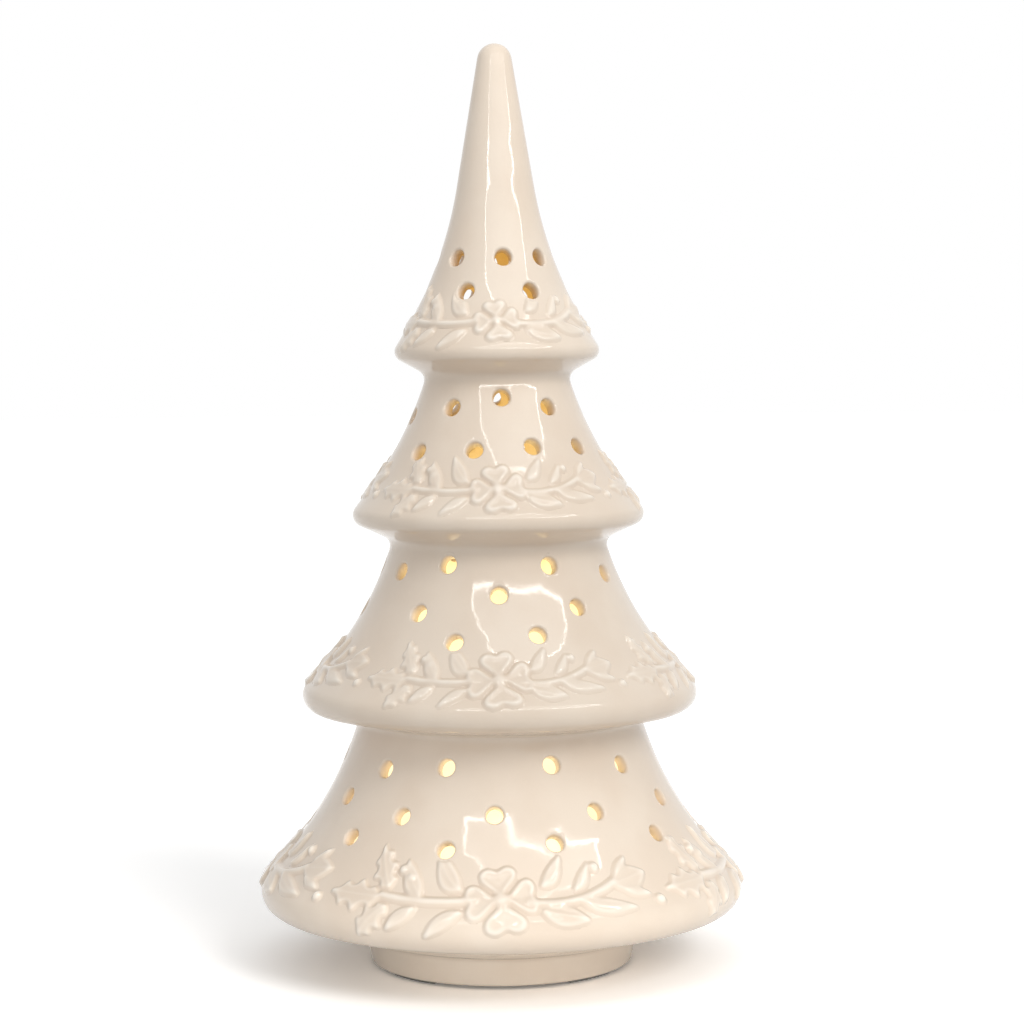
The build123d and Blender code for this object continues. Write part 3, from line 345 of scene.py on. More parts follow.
def spin_section(points, columns):
    """A body turned from a section: one fold is spun, then doubled all the way round."""
    builder = bmesh.new()
    line = string(builder, [in_space(point, 0.0) for point in points])
    fold = 2 * math.pi / 2**DOUBLINGS
    spin_up(builder, line, fold, columns // 2**DOUBLINGS)
    for count in range(DOUBLINGS):
        whole = [*builder.verts, *builder.edges, *builder.faces]
        moved = points_of(bmesh.ops.duplicate(builder, geom=whole)["geom"])
        turn = Matrix.Rotation(fold * 2**count, 3, "Z")
        bmesh.ops.rotate(builder, verts=moved, cent=(0, 0, 0), matrix=turn)
    close_up(builder)
    return builder


shell = new_object("tree_shell", spin_section(outside + inside, COLUMNS))
print("shell turned:", len(shell.data.polygons), "faces")

# %% Light hole cutters
HOLE_RADIUS = 2.8 * MM
LIP_ROUND = 0.9 * MM
LIP_LEANS = [11.5, 28, 46, 66, 90]
LIP_BEYOND = 0.7 * LIP_ROUND
CUTTER_ABOVE = 1.2 * MM
CUTTER_BELOW = 2.5 * MM
HOLE_SIDES = 28
# Holes of each tier: degrees from the front, and percentage of the way up from the brim to the neck
HOLES = [
    [(-43, 56), (7, 56), (49, 56), (93, 56), (-25, 36), (29, 36), (90, 36)],
    [(-78, 71), (-33, 78), (3, 85), (38, 78), (-49, 47), (-13, 49), (20, 51), (52, 50), (92, 49)],
    [
        (-56, 83), (-26, 89), (26, 88), (63, 80), (93, 84), (0, 71),
        (-85, 57), (-36, 59), (36, 62), (-17, 43), (15, 47),
    ],
    [
        (-46, 79), (-20, 83), (19, 84), (50, 80), (92, 80),
        (-62, 61), (-33, 56), (-2, 59), (32, 58), (66, 58),
        (-50, 42), (-16, 41), (16, 44), (53, 42), (90, 41),
    ],
]


def lip_ring(degrees):
    """Radius and depth of the rounded lip where it has this lean."""
    lean = math.radians(degrees)
    return HOLE_RADIUS + LIP_ROUND * (1 - math.sin(lean)), -LIP_ROUND * (1 - math.cos(lean))


def trumpet():
    """One cutter, spun upright, from over the wall to under it."""
    flare, depth = lip_ring(LIP_LEANS[0])
    wide = flare + LIP_BEYOND
    over = LIP_BEYOND * math.tan(math.radians(LIP_LEANS[0])) + depth
    under = -WALL - CUTTER_BELOW
    rings = [(0, CUTTER_ABOVE), (wide, CUTTER_ABOVE), (wide, over)]
    rings += [lip_ring(degrees) for degrees in LIP_LEANS] + [(HOLE_RADIUS, under), (0, under)]
    builder = bmesh.new()
    line = string(builder, [(radius, 0, depth) for radius, depth in rings])
    spin_up(builder, line, 2 * math.pi, HOLE_SIDES, merge=True)
    close_up(builder)
    mesh = bpy.data.meshes.new("trumpet")
    builder.to_mesh(mesh)
    builder.free()
    return mesh


# The back half has the same holes as the front half
hole_places = [
    [(math.radians(azimuth + back), wall.at_percent(up)) for azimuth, up in holes for back in (0, 180)]
    for wall, holes in zip(walls, HOLES)
]


def hole_cutters():
    """All cutters, each bent on to the wall at its place."""
    one = trumpet()
    builder = bmesh.new()
    for wall, places in zip(walls, hole_places):
        for azimuth, slope in places:
            builder.from_mesh(one)
            builder.verts.ensure_lookup_table()
            radius_here = wall.at_slope(slope)[0].x
            for vert in builder.verts[-len(one.vertices):]:
                point, _ = wall.at_slope(slope + vert.co.y, vert.co.z)
                vert.co = in_space(point, azimuth + vert.co.x / radius_here)
    builder.normal_update()
    bmesh.ops.recalc_face_normals(builder, faces=builder.faces)
    return new_object("hole_cutters", builder)


cutters = hole_cutters()
pierce = shell.modifiers.new("pierce", "BOOLEAN")
pierce.operation = "DIFFERENCE"
pierce.solver = "EXACT"
pierce.object = cutters
depsgraph = bpy.context.evaluated_depsgraph_get()
pierced = bpy.data.meshes.new_from_object(shell.evaluated_get(depsgraph))
shell.modifiers.clear()
shell.data = pierced
bpy.data.objects.remove(cutters)
print("shell pierced:", len(shell.data.polygons), "faces,", 2 * sum(len(h) for h in HOLES), "holes")

# %% [markdown]
# ## Smooth glaze on the shell
# The Boolean leaves long thin faces round the holes, which plain smooth shading would show in a glossy glaze.
# The true normal of the turned wall is known from the outline, so each point of the outside gets it. The same
# test tells the unglazed inside from the glazed outside, which have materials of their own.

# %% Normals and sides of the shell
DENSE_STEP = 0.1 * MM
SMOOTH_REACH = 3
ON_WALL = 0.03 * MM
ON_AXIS = 0.05 * MM
NEAR_HOLLOW = 0.4 * MM
OVER_FOOT = 0.1 * MM


def outline_tree(points):
    """Search tree of close points along an outline, and the normals at them."""
    dense = []
    ways = []
    for start, end in zip(points, points[1:]):
        row = line_points(start, end, DENSE_STEP)[:-1]
        dense += row
        ways += [(end - start).normalized()] * len(row)
    normals = []
    for k in range(len(dense)):
        near = ways[max(0, k - SMOOTH_REACH):k + SMOOTH_REACH + 1]
        along = sum(near, Vector((0.0, 0.0))).normalized()
        normals.append(Vector((-along.y, along.x)))
    tree = KDTree(len(dense))
    for k, point in enumerate(dense):
        tree.insert((point.x, point.y, 0), k)
    tree.balance()
    return tree, normals


outside_tree, outside_normals = outline_tree(outside)
inside_tree, _ = outline_tree(inside)


def dress_shell(piece):
    """Give each point of the outside the normal of the turned wall."""
    mesh = piece.data
    mesh.shade_smooth()
    normals = []
    for vert in mesh.vertices:
        x, y, z = vert.co
        radius = math.hypot(x, y)
        _, k, gap = outside_tree.find((radius, z, 0))
        normal = Vector(vert.normal)
        if gap < ON_WALL and radius > ON_AXIS:
            flat = outside_normals[k]
            true = Vector((flat.x * x / radius, flat.x * y / radius, flat.y))
            normal = true if true.dot(normal) > 0 else -true
        normals.append(normal)
    mesh.normals_split_custom_set_from_vertices(normals)


def mark_inside(mesh):
    """The second material goes on the faces of the hollow."""
    for face in mesh.polygons:
        x, y, z = face.center
        gap = inside_tree.find((math.hypot(x, y), z, 0))[2]
        face.material_index = int(gap < NEAR_HOLLOW and z > FOOT_BOTTOM + OVER_FOOT)
    print("inside faces:", sum(face.material_index for face in mesh.polygons))


dress_shell(shell)
print("normals set on", len(shell.data.vertices), "points")

# %% [markdown]
# ## The relief garland
# Flowers and leafy sprigs stand up to about 1.7 mm proud of each brim, softened by the glaze. They are
# drawn flat, in millimetres right of and up the slope from a flower, as heights: petals and leaves are
# shallow dishes with raised rims, stems are round and berries are domes. Where shapes meet, a soft maximum
# joins them, and a slight blur does what the glaze does. A fine band that lies just under the wall is spun
# for each tier, and its points are lifted by the drawing, so the relief is real geometry.

# %% Values of the motif
RELIEF_HEIGHT = 1.35
# A leaf and a petal, in millimetres: soft edge, middle and width of the raised rim, way down into the dish;
# then heights of body, dish and rim as shares of the relief's
LEAF_DISH = (1.2, 0.75, 0.45, 2.6, 0.80, 0.14, 0.16)
PETAL_DISH = (1.5, 0.9, 0.55, 3.2, 1.05, 0.42, 0.25)
LEAF_TAPER, LEAF_FULLNESS = 0.85, 0.8
RIB_WIDTH, RIB_FADE, RIB_HEIGHT = 0.42, 3.0, 0.28
HOLLY_SPINES = 3
HOLLY_WAIST, HOLLY_POINT = 0.72, 0.42
PETAL_COUNT = 4
PETAL_TURN = 8.0
PETAL_SPAN, PETAL_SQUARENESS = 0.98, 7
NOTCH_DEPTH, NOTCH_WIDTH = 0.14, 0.2
CREASE_WIDTH, CREASE_FROM, CREASE_FADE, CREASE_DEPTH = 0.5, 0.5, 2.0, 0.18
EYE_SHARE, EYE_HEIGHT = 0.25, 1.7
STEM_RADIUS, STEM_HEIGHT, STEM_STEPS = 1.5, 0.95, 60
BERRY_RADIUS, BERRY_HEIGHT = 1.8, 1.6
FLOWER_RADIUS_SHARE = [0.145, 0.195, 0.205, 0.205]
FLOWER_SLOPE_SHARE = [0.16, 0.195, 0.17, 0.11]
MOTIF_COPIES = [2, 3, 4, 4]
MOTIF_LENGTH = 111.0
# Leaves: stalk end right, stalk end up, direction, length, width, curl
LEAVES = [
    (12, 4, 32, 13, 6.4, 0.03),
    (11, -4, -16, 15, 8.0, 0.0),
    (23, -1, -26, 19, 6.6, 0.012),
    (22, 2, 34, 12, 5.0, 0.03),
    (35, 3, 12, 15, 9.5, 0.0),
    (38, 1, -16, 11, 4.6, 0.0),
    (37, 6, 40, 10, 4.0, 0.0),
    (-12, 3, 150, 15, 8.4, -0.03),
    (-11, -4, 204, 14, 5.8, 0.02),
    (-24, 0, 138, 15, 7.0, -0.02),
    (-25, -3, 218, 12, 5.6, 0.01),
]
HOLLY_LEAVES = [
    (-35, 2, 128, 17, 9.0, -0.01),
    (-37, -1, 180, 20, 10.5, 0.0),
    (-34, -3, 226, 14, 8.4, 0.01),
]
STEMS = [
    ((8, -1), (22, -1), (36, 4)),
    ((-8, 0), (-22, -1), (-37, 0)),
]
BERRIES = [(-29, 6.5), (-32.5, 9), (31, 9.5), (50, -4)]
print("motif:", len(LEAVES) + len(HOLLY_LEAVES), "leaves,", len(BERRIES), "berries")


# %% Draw the motif
def soft_step(depth, width):
    """0 outside an outline, 1 well inside it, with a smooth way between."""
    t = np.clip(depth / width, 0, 1)
    return t * t * (3 - 2 * t)


def dome(gap, radius):
    """Height of a round top at this distance from its middle."""
    return np.sqrt(np.clip(1 - (gap / radius) ** 2, 0, None))


def turned(u, v, right, up, degrees):
    """Coordinates along and across what grows from a place in a direction."""
    c, s = math.cos(math.radians(degrees)), math.sin(math.radians(degrees))
    return (u - right) * c + (v - up) * s, -(u - right) * s + (v - up) * c


def dished(depth, edge, rim_middle, rim_width, slope, body_high, dish_deep, rim_high):
    """Where a leaf or petal is, and its height with dish and rim."""
    body = soft_step(depth, edge)
    rim = np.exp(-(((depth - rim_middle) / rim_width) ** 2))
    return body, body * (body_high - dish_deep * soft_step(depth, slope)) + rim_high * rim * body


def draw_leaf(u, v, leaf, spines=0):
    right, up, degrees, length, width, curl = leaf
    along, across = turned(u, v, right, up, degrees)
    across = across - curl * along**2
    t = np.clip(along / length, 0, 1)
    half = width / 2 * np.sin(np.pi * t**LEAF_TAPER) ** LEAF_FULLNESS
    if spines:
        half = half * (HOLLY_WAIST + HOLLY_POINT * np.abs(np.sin(np.pi * (spines + 0.5) * t)) ** 3)
    depth = np.where((along < 0) | (along > length), -1.0, half - np.abs(across))
    body, dish = dished(depth, *LEAF_DISH)
    rib = np.exp(-((across / RIB_WIDTH) ** 2)) * soft_step(length - along, RIB_FADE)
    return RELIEF_HEIGHT * (dish + RIB_HEIGHT * rib * body)


def draw_petals(u, v, radius):
    """Heights of a flower: notched petals with a crease, and a round eye."""
    rho = np.hypot(u, v)
    half_turn = np.pi / PETAL_COUNT
    total = EYE_HEIGHT * dome(rho, EYE_SHARE * radius)
    for count in range(PETAL_COUNT):
        middle = math.radians(90 + PETAL_TURN + count * 360 / PETAL_COUNT)
        turn = (np.arctan2(v, u) - middle + np.pi) % (2 * np.pi) - np.pi
        aside = np.clip(np.abs(turn) / (PETAL_SPAN * half_turn), 0, 1)
        notch = NOTCH_DEPTH * np.exp(-((turn / NOTCH_WIDTH) ** 2))
        reach = radius * (1 - notch) * (1 - aside**PETAL_SQUARENESS) ** 0.5
        side = rho * np.sin(np.clip(half_turn - np.abs(turn), 0, None))
        body, dish = dished(np.minimum(reach - rho, side), *PETAL_DISH)
        fade = soft_step(rho - CREASE_FROM * radius, CREASE_FADE)
        crease = np.exp(-((rho * np.sin(turn) / CREASE_WIDTH) ** 2)) * fade
        petal = RELIEF_HEIGHT * (dish - CREASE_DEPTH * crease * body)
        total = np.maximum(total, np.where(np.abs(turn) < half_turn, petal, 0))
    return total


def draw_stem(u, v, stem):
    start, middle, end = (np.array(point, float) for point in stem)
    control = 2 * middle - (start + end) / 2
    nearest = np.full(u.shape, np.inf)
    for t in np.linspace(0, 1, STEM_STEPS):
        x, y = start * (1 - t) ** 2 + control * 2 * t * (1 - t) + end * t**2
        nearest = np.minimum(nearest, np.hypot(u - x, v - y))
    return STEM_HEIGHT * RELIEF_HEIGHT * dome(nearest, STEM_RADIUS)


def soften(height, sigma):
    """Blur of the drawing, which repeats round the tree."""
    reach = int(3 * sigma) + 1
    weights = np.exp(-0.5 * (np.arange(-reach, reach + 1) / sigma) ** 2)
    weights /= weights.sum()
    rounded = sum(w * np.roll(height, k - reach, axis=1) for k, w in enumerate(weights))
    padded = np.pad(rounded, ((reach, reach), (0, 0)), mode="edge")
    return sum(w * padded[k:k + height.shape[0]] for k, w in enumerate(weights))


GRID = 0.25
GLAZE_FILL = 0.45
RIDGE_BLUR = 1.3
JOIN_SHARPNESS = 7.0
DRAW_LOW, DRAW_HIGH = -14.0, 26.0


def draw_motif(period, scale, flower_radius):
    """Heights over one repeat, and how far each point stands out from those around it."""
    columns = int(round(period / GRID))
    rows = int(round((DRAW_HIGH - DRAW_LOW) / GRID)) + 1
    around = (np.arange(columns) / columns - 0.5) * period
    u, v = np.meshgrid(around, np.linspace(DRAW_LOW, DRAW_HIGH, rows))
    layers = [draw_petals(u, v, flower_radius)]
    rise = scale**0.5
    for shift in (-period, 0, period):
        small_u, small_v = (u + shift) / scale, v / scale
        layers += [draw_leaf(small_u, small_v, leaf) * rise for leaf in LEAVES]
        layers += [draw_leaf(small_u, small_v, leaf, HOLLY_SPINES) * rise for leaf in HOLLY_LEAVES]
        layers += [draw_stem(small_u, small_v, stem) * rise for stem in STEMS]
        gaps = [np.hypot(small_u - x, small_v - y) for x, y in BERRIES]
        layers += [BERRY_HEIGHT * dome(gap, BERRY_RADIUS) * scale for gap in gaps]
    joined = sum(np.exp(JOIN_SHARPNESS * layer) for layer in layers) - len(layers) + 1
    height = soften(np.log(joined) / JOIN_SHARPNESS, GLAZE_FILL / GRID)
    return height, height - soften(height, RIDGE_BLUR / GRID)


def sample(table, period, u, v):
    """Heights of the drawing between its points."""
    rows, columns = table.shape
    x = ((u / period + 0.5) % 1.0) * columns
    y = np.clip((v - DRAW_LOW) / GRID, 0, rows - 1.001)
    i, j = np.floor(x).astype(int) % columns, np.floor(y).astype(int)
    fx, fy = x - np.floor(x), y - j
    near = table[j, i] * (1 - fx) + table[j, (i + 1) % columns] * fx
    far = table[j + 1, i] * (1 - fx) + table[j + 1, (i + 1) % columns] * fx
    return near * (1 - fy) + far * fy


# %% Lay the garlands on the tiers
BAND_STEP = 0.5
BAND_SINK = 0.06
BAND_TOP_SHARE = 0.6
BAND_LOWEST = math.radians(-24)
BAND_FADE = 2.0
BARE = 0.02
CLEAR_OF_HOLES = 1.2
SKIRT = 0.5
CHUNK = 4000


def drop_bare(mesh, raised):
    """Leave only the raised parts, and turn their edges down into the wall."""
    builder = bmesh.new()
    builder.from_mesh(mesh)
    bare = [face for face in builder.faces if not any(raised[vert.index] for vert in face.verts)]
    bmesh.ops.delete(builder, geom=bare, context="FACES")
    rim = [edge for edge in builder.edges if edge.is_boundary]
    for vert in points_of(bmesh.ops.extrude_edge_only(builder, edges=rim)["geom"]):
        vert.co -= Vector((vert.co.x, vert.co.y, 0)).normalized() * SKIRT * MM
    builder.to_mesh(mesh)
    builder.free()
    mesh.update()


def nearest_rows(radius, height, section):
    """The row of the section that each point of a spun band belongs to."""
    profile = np.array([(point.x, point.y) for point in section])
    rows = np.empty(len(radius), int)
    for start in range(0, len(radius), CHUNK):
        part = slice(start, start + CHUNK)
        gaps = (radius[part, None] - profile[:, 0]) ** 2 + (height[part, None] - profile[:, 1]) ** 2
        rows[part] = gaps.argmin(axis=1)
    return rows


def make_garland(index):
    wall = walls[index]
    flower_slope = FLOWER_SLOPE_SHARE[index] * wall.slope_length / MM
    flower_radius = FLOWER_RADIUS_SHARE[index] * wall.slope_length / MM
    band_radius = wall.at_slope(flower_slope * MM)[0].x / MM
    period = 2 * math.pi * band_radius / MOTIF_COPIES[index]
    height, ridge = draw_motif(period, period / MOTIF_LENGTH, flower_radius)
    top = BAND_TOP_SHARE * wall.slope_length / MM
    bottom = (BAND_LOWEST - wall.flank_lean) * wall.edge_radius / MM
    slopes = np.linspace(top, bottom, math.ceil((top - bottom) / BAND_STEP) + 1)
    section = [wall.at_slope(slope * MM, -BAND_SINK * MM)[0] for slope in slopes]
    columns = 2**DOUBLINGS * round(2 * math.pi * wall.brim.x / MM / BAND_STEP / 2**DOUBLINGS)
    garland = new_object(f"relief_{index + 1}", spin_section(section, columns))
    mesh = garland.data
    places = np.empty(len(mesh.vertices) * 3)
    mesh.vertices.foreach_get("co", places)
    places = places.reshape(-1, 3)
    radius = np.hypot(places[:, 0], places[:, 1])
    nearest = nearest_rows(radius, places[:, 2], section)
    slope = slopes[nearest]
    lean = np.array([wall.at_slope(s * MM)[1] for s in slopes])[nearest]
    azimuth = np.arctan2(places[:, 0], -places[:, 1])
    around = azimuth * band_radius
    lift = sample(height, period, around, slope - flower_slope) * MM
    lift *= np.clip((top - slope) / BAND_FADE, 0, 1) * np.clip((slope - bottom) / BAND_FADE, 0, 1)
    for hole_azimuth, hole_slope in hole_places[index]:
        aside = (azimuth - hole_azimuth + np.pi) % (2 * np.pi) - np.pi
        gap = np.hypot(aside * radius, slope * MM - hole_slope) - HOLE_RADIUS - LIP_ROUND
        lift *= soft_step(gap, CLEAR_OF_HOLES * MM)
    places[:, 0] += lift * np.cos(lean) * np.sin(azimuth)
    places[:, 1] -= lift * np.cos(lean) * np.cos(azimuth)
    places[:, 2] += lift * np.sin(lean)
    mesh.vertices.foreach_set("co", places.ravel())
    stands = mesh.attributes.new("ridge", "FLOAT", "POINT")
    stands.data.foreach_set("value", sample(ridge, period, around, slope - flower_slope))
    drop_bare(mesh, lift > BARE * MM)
    mesh.shade_smooth()
    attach(garland, "tree")
    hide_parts(f"garland_{index + 1}")
    print(garland.name, "faces", len(mesh.polygons), "highest", round(float(lift.max()) / MM, 2), "mm")
    return garland


garlands = [make_garland(count) for count in range(4)]
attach(shell, "tree")
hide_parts(*SHELL_NODES)

# %% [markdown]
# ## Shared effects for the materials
# Fired glaze is never quite even: it is a little warmer where it lies thick and a little paler over edges, which
# on the relief is partly a painted highlight, and its surface waves gently. Moulded plastic, metal and felt also
# vary. One group gives slow mottling between two colours, and another gives waves for a bump, both on the
# object's own coordinates.

# %% Node helpers
FLOAT, COLOUR = "NodeSocketFloat", "NodeSocketColor"


def feed(tree, socket, value):
    """Link a socket, or give it a number or a colour."""
    if isinstance(value, bpy.types.NodeSocket):
        tree.links.new(value, socket)
    else:
        socket.default_value = (*value, 1) if isinstance(value, tuple) else value


def maths(tree, operation, first, second):
    node = tree.nodes.new("ShaderNodeMath")
    node.operation = operation
    feed(tree, node.inputs[0], first)
    feed(tree, node.inputs[1], second)
    return node.outputs["Value"]


def blend(tree, factor, first, second, kind="MIX"):
    node = tree.nodes.new("ShaderNodeMix")
    node.data_type = "RGBA"
    node.blend_type = kind
    for socket, value in (("Factor", factor), ("A", first), ("B", second)):
        feed(tree, node.inputs[socket], value)
    return node.outputs["Result"]


def ranged(tree, value, target, source=(0.0, 1.0), kind="LINEAR"):
    """What a Map Range node gives, from one pair of values to another."""
    node = tree.nodes.new("ShaderNodeMapRange")
    node.interpolation_type = kind
    node.inputs["From Min"].default_value, node.inputs["From Max"].default_value = source
    node.inputs["To Min"].default_value, node.inputs["To Max"].default_value = target
    tree.links.new(value, node.inputs["Value"])
    return node.outputs["Result"]


def object_place(tree, axis=None):
    """Coordinates on the object, or one of them."""
    place = tree.nodes.new("ShaderNodeTexCoord").outputs["Object"]
    if axis is None:
        return place
    apart = tree.nodes.new("ShaderNodeSeparateXYZ")
    tree.links.new(place, apart.inputs["Vector"])
    return apart.outputs[axis]


def noise(tree, place, scale, detail):
    node = tree.nodes.new("ShaderNodeTexNoise")
    tree.links.new(place, node.inputs["Vector"])
    feed(tree, node.inputs["Scale"], scale)
    node.inputs["Detail"].default_value = detail
    return node.outputs["Fac"]


def new_group(name, inputs, outputs):
    """A group with these sockets, what it is given and what it puts out."""
    group = bpy.data.node_groups.new(name, "ShaderNodeTree")
    for way, sockets in (("INPUT", inputs), ("OUTPUT", outputs)):
        for socket, kind in sockets.items():
            group.interface.new_socket(name=socket, in_out=way, socket_type=kind)
    return group, group.nodes.new("NodeGroupInput").outputs, group.nodes.new("NodeGroupOutput").inputs


# %% Node groups
MOTTLE_DETAIL, SPECKLE_DETAIL, WAVE_DETAIL = 3.0, 2.0, 1.0
MOTTLE_FROM = (0.34, 0.66)
SPECKLE_SCALE = 1500.0


def mottle_group():
    group, given, result = new_group(
        "mottle",
        {"Thin": COLOUR, "Thick": COLOUR, "Scale": FLOAT, "Speckle": FLOAT},
        {"Color": COLOUR, "Mask": FLOAT},
    )
    place = object_place(group)
    slow = noise(group, place, given["Scale"], MOTTLE_DETAIL)
    mask = ranged(group, slow, (0.0, 1.0), MOTTLE_FROM, "SMOOTHSTEP")
    mottled = blend(group, mask, given["Thin"], given["Thick"])
    fine = noise(group, place, SPECKLE_SCALE, SPECKLE_DETAIL)
    dark = maths(group, "SUBTRACT", 1.0, maths(group, "MULTIPLY", fine, given["Speckle"]))
    group.links.new(blend(group, 1.0, mottled, dark, "MULTIPLY"), result["Color"])
    group.links.new(mask, result["Mask"])
    return group


def wave_group():
    sockets = ["Slow Scale", "Slow Height", "Fine Scale", "Fine Height"]
    group, given, result = new_group("surface_waves", dict.fromkeys(sockets, FLOAT), {"Height": FLOAT})
    place = object_place(group)
    parts = []
    for kind in ("Slow", "Fine"):
        waves = noise(group, place, given[f"{kind} Scale"], WAVE_DETAIL)
        parts.append(maths(group, "MULTIPLY", waves, given[f"{kind} Height"]))
    group.links.new(maths(group, "ADD", *parts), result["Height"])
    return group


MOTTLE = mottle_group()
WAVES = wave_group()
print("groups:", MOTTLE.name, WAVES.name)

# %% [markdown]
# ## A finish from the groups
# Most finishes are one recipe with other values, so one helper builds them from a row: pale and dark colour,
# least and most roughness, scale of the mottling, depth of the speckles, scale and height of the slow waves and
# of the fine grain, and 1 for metal. Special finishes add to what it returns.

# %% Finish helper
SHADER = "Principled BSDF"


def use_group(tree, group, values):
    """A group in a material, with the values of its inputs in order."""
    node = tree.nodes.new("ShaderNodeGroup")
    node.node_tree = group
    node.name = group.name
    for socket, value in zip(node.inputs, values):
        feed(tree, socket, value)
    return node


def finish(name, thin, thick, roughness, scale, speckle, slow=(60.0, 0.0), fine=(900.0, 0.0), metallic=0.0):
    material = bpy.data.materials.new(name)
    material.use_nodes = True
    tree = material.node_tree
    shader = tree.nodes[SHADER]
    mottle = use_group(tree, MOTTLE, (thin, thick, scale, speckle))
    waves = use_group(tree, WAVES, (*slow, *fine))
    bump = tree.nodes.new("ShaderNodeBump")
    bump.inputs["Strength"].default_value = 1.0
    bump.inputs["Distance"].default_value = MM
    tree.links.new(waves.outputs["Height"], bump.inputs["Height"])
    tree.links.new(bump.outputs["Normal"], shader.inputs["Normal"])
    tree.links.new(mottle.outputs["Color"], shader.inputs["Base Color"])
    tree.links.new(ranged(tree, mottle.outputs["Mask"], roughness), shader.inputs["Roughness"])
    shader.inputs["Metallic"].default_value = metallic
    return material


def tint(material, steps):
    """Further colours over a finish, each with its mask."""
    tree = material.node_tree
    colour = tree.nodes[MOTTLE.name].outputs["Color"]
    for mask, above in steps:
        colour = blend(tree, mask, colour, above)
    tree.links.new(colour, tree.nodes[SHADER].inputs["Base Color"])


def shine(material, colour, strength):
    shader = material.node_tree.nodes[SHADER]
    material.node_tree.links.new(colour, shader.inputs["Emission Color"])
    shader.inputs["Emission Strength"].default_value = strength


# %% [markdown]
# ## The cream glaze
# A warm white glaze over pale clay: glossy, slightly uneven, a touch browner where it has pooled. On the relief
# the drawing left how far each point stands out, so the hollows are darker and warmer, from glaze pooling and
# painted shade, and the edges are paler, from thin glaze and a painted highlight. The inside of the shell is
# bare matt clay, with a painted glow of the lamps' warm light on it.

# %% Glaze and clay
GLAZE = (
    (0.785, 0.680, 0.568), (0.750, 0.634, 0.518), (0.045, 0.085), 34, 0.03, (55, 0.55), (420, 0.012),
)
GLAZE_IOR = 1.52
CLAY = ((0.80, 0.70, 0.58), (0.74, 0.63, 0.50), (0.75, 0.9), 80, 0.12, (200, 0.05), (1400, 0.03))
# On the relief: how far a point stands out, in millimetres, where a colour starts and where it is full
# First row: painted shade and glaze pooling in the hollows; second: painted highlight and thin glaze on edges
RELIEF_SHADE_AND_HIGHLIGHT_TINTS = [
    ((-0.05, -0.55), (0.66, 0.54, 0.43)),
    ((0.05, 0.5), (0.88, 0.80, 0.70)),
]
# Painted lamp glow given off by the clay inside the shell, by height: pale low down, amber in the top tier
PAINTED_GLOW_LEVELS = [
    (0.03, (0.44, 0.41, 0.30)),
    (0.22, (0.54, 0.50, 0.38)),
    (0.40, (0.66, 0.60, 0.29)),
    (0.56, (0.17, 0.10, 0.013)),
    (0.90, (0.20, 0.11, 0.014)),
]


def make_glaze(name):
    material = finish(name, *GLAZE)
    material.node_tree.nodes[SHADER].inputs["IOR"].default_value = GLAZE_IOR
    return material


def paint_relief_shade_and_highlight(material):
    """Painted shade with glaze pooling in the hollows, painted highlight with thin glaze on the edges."""
    tree = material.node_tree
    stands = tree.nodes.new("ShaderNodeAttribute")
    stands.attribute_name = "ridge"
    out = stands.outputs["Fac"]
    tint(material, [(ranged(tree, out, (0.0, 1.0), span), colour) for span, colour in RELIEF_SHADE_AND_HIGHLIGHT_TINTS])


# The bare clay inside gives off a painted glow of the lamps' light, by height.
def paint_glow_inside(material):
    tree = material.node_tree
    ramp = tree.nodes.new("ShaderNodeValToRGB")
    stops = ramp.color_ramp.elements
    for count, (level, colour) in enumerate(PAINTED_GLOW_LEVELS):
        stop = stops[count] if count < 2 else stops.new(level)
        stop.position = level
        stop.color = (*colour, 1)
    tree.links.new(maths(tree, "DIVIDE", object_place(tree, "Z"), TREE_HEIGHT), ramp.inputs["Fac"])
    shine(material, ramp.outputs["Color"], 1.0)


glaze = make_glaze("cream_glaze")
relief_glaze = make_glaze("relief_glaze")
paint_relief_shade_and_highlight(relief_glaze)
# The inside clay carries the painted lamp glow
clay = finish("bare_clay_painted_glow", *CLAY)
paint_glow_inside(clay)
shell.data.materials.append(glaze)
shell.data.materials.append(clay)
mark_inside(shell.data)
for garland in garlands:
    garland.data.materials.append(relief_glaze)
print("glaze on", 1 + len(garlands), "pieces")

# %% [markdown]
# ## Felt strips
# Four short strips of felt keep the foot off the table. Each is a small bar of felt bent to the foot's ring:
# a rectangle spun through its arc and capped, with softened edges. The nap is left to the material.

# %% Felt
FELT_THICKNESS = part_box("felt_pads")[1].z
FELT_WIDTH = 3.0 * MM
FELT_ARC = math.radians(26)
FELT_MIDDLE = (BORE_RADIUS + FOOT_BOTTOM_RADIUS - FOOT_EDGE) / 2
FELT_COUNT = 4
FELT_FIRST = 45
FELT_STEPS = 16
FELT_ROUND = 0.22 * MM
FELT_ROUND_STEPS = 3
SHARP_ANGLE = 1.0
FELT = ((0.30, 0.29, 0.26), (0.22, 0.215, 0.195), (0.9, 1.0), 700, 0.5, (900, 0.15), (2600, 0.22))


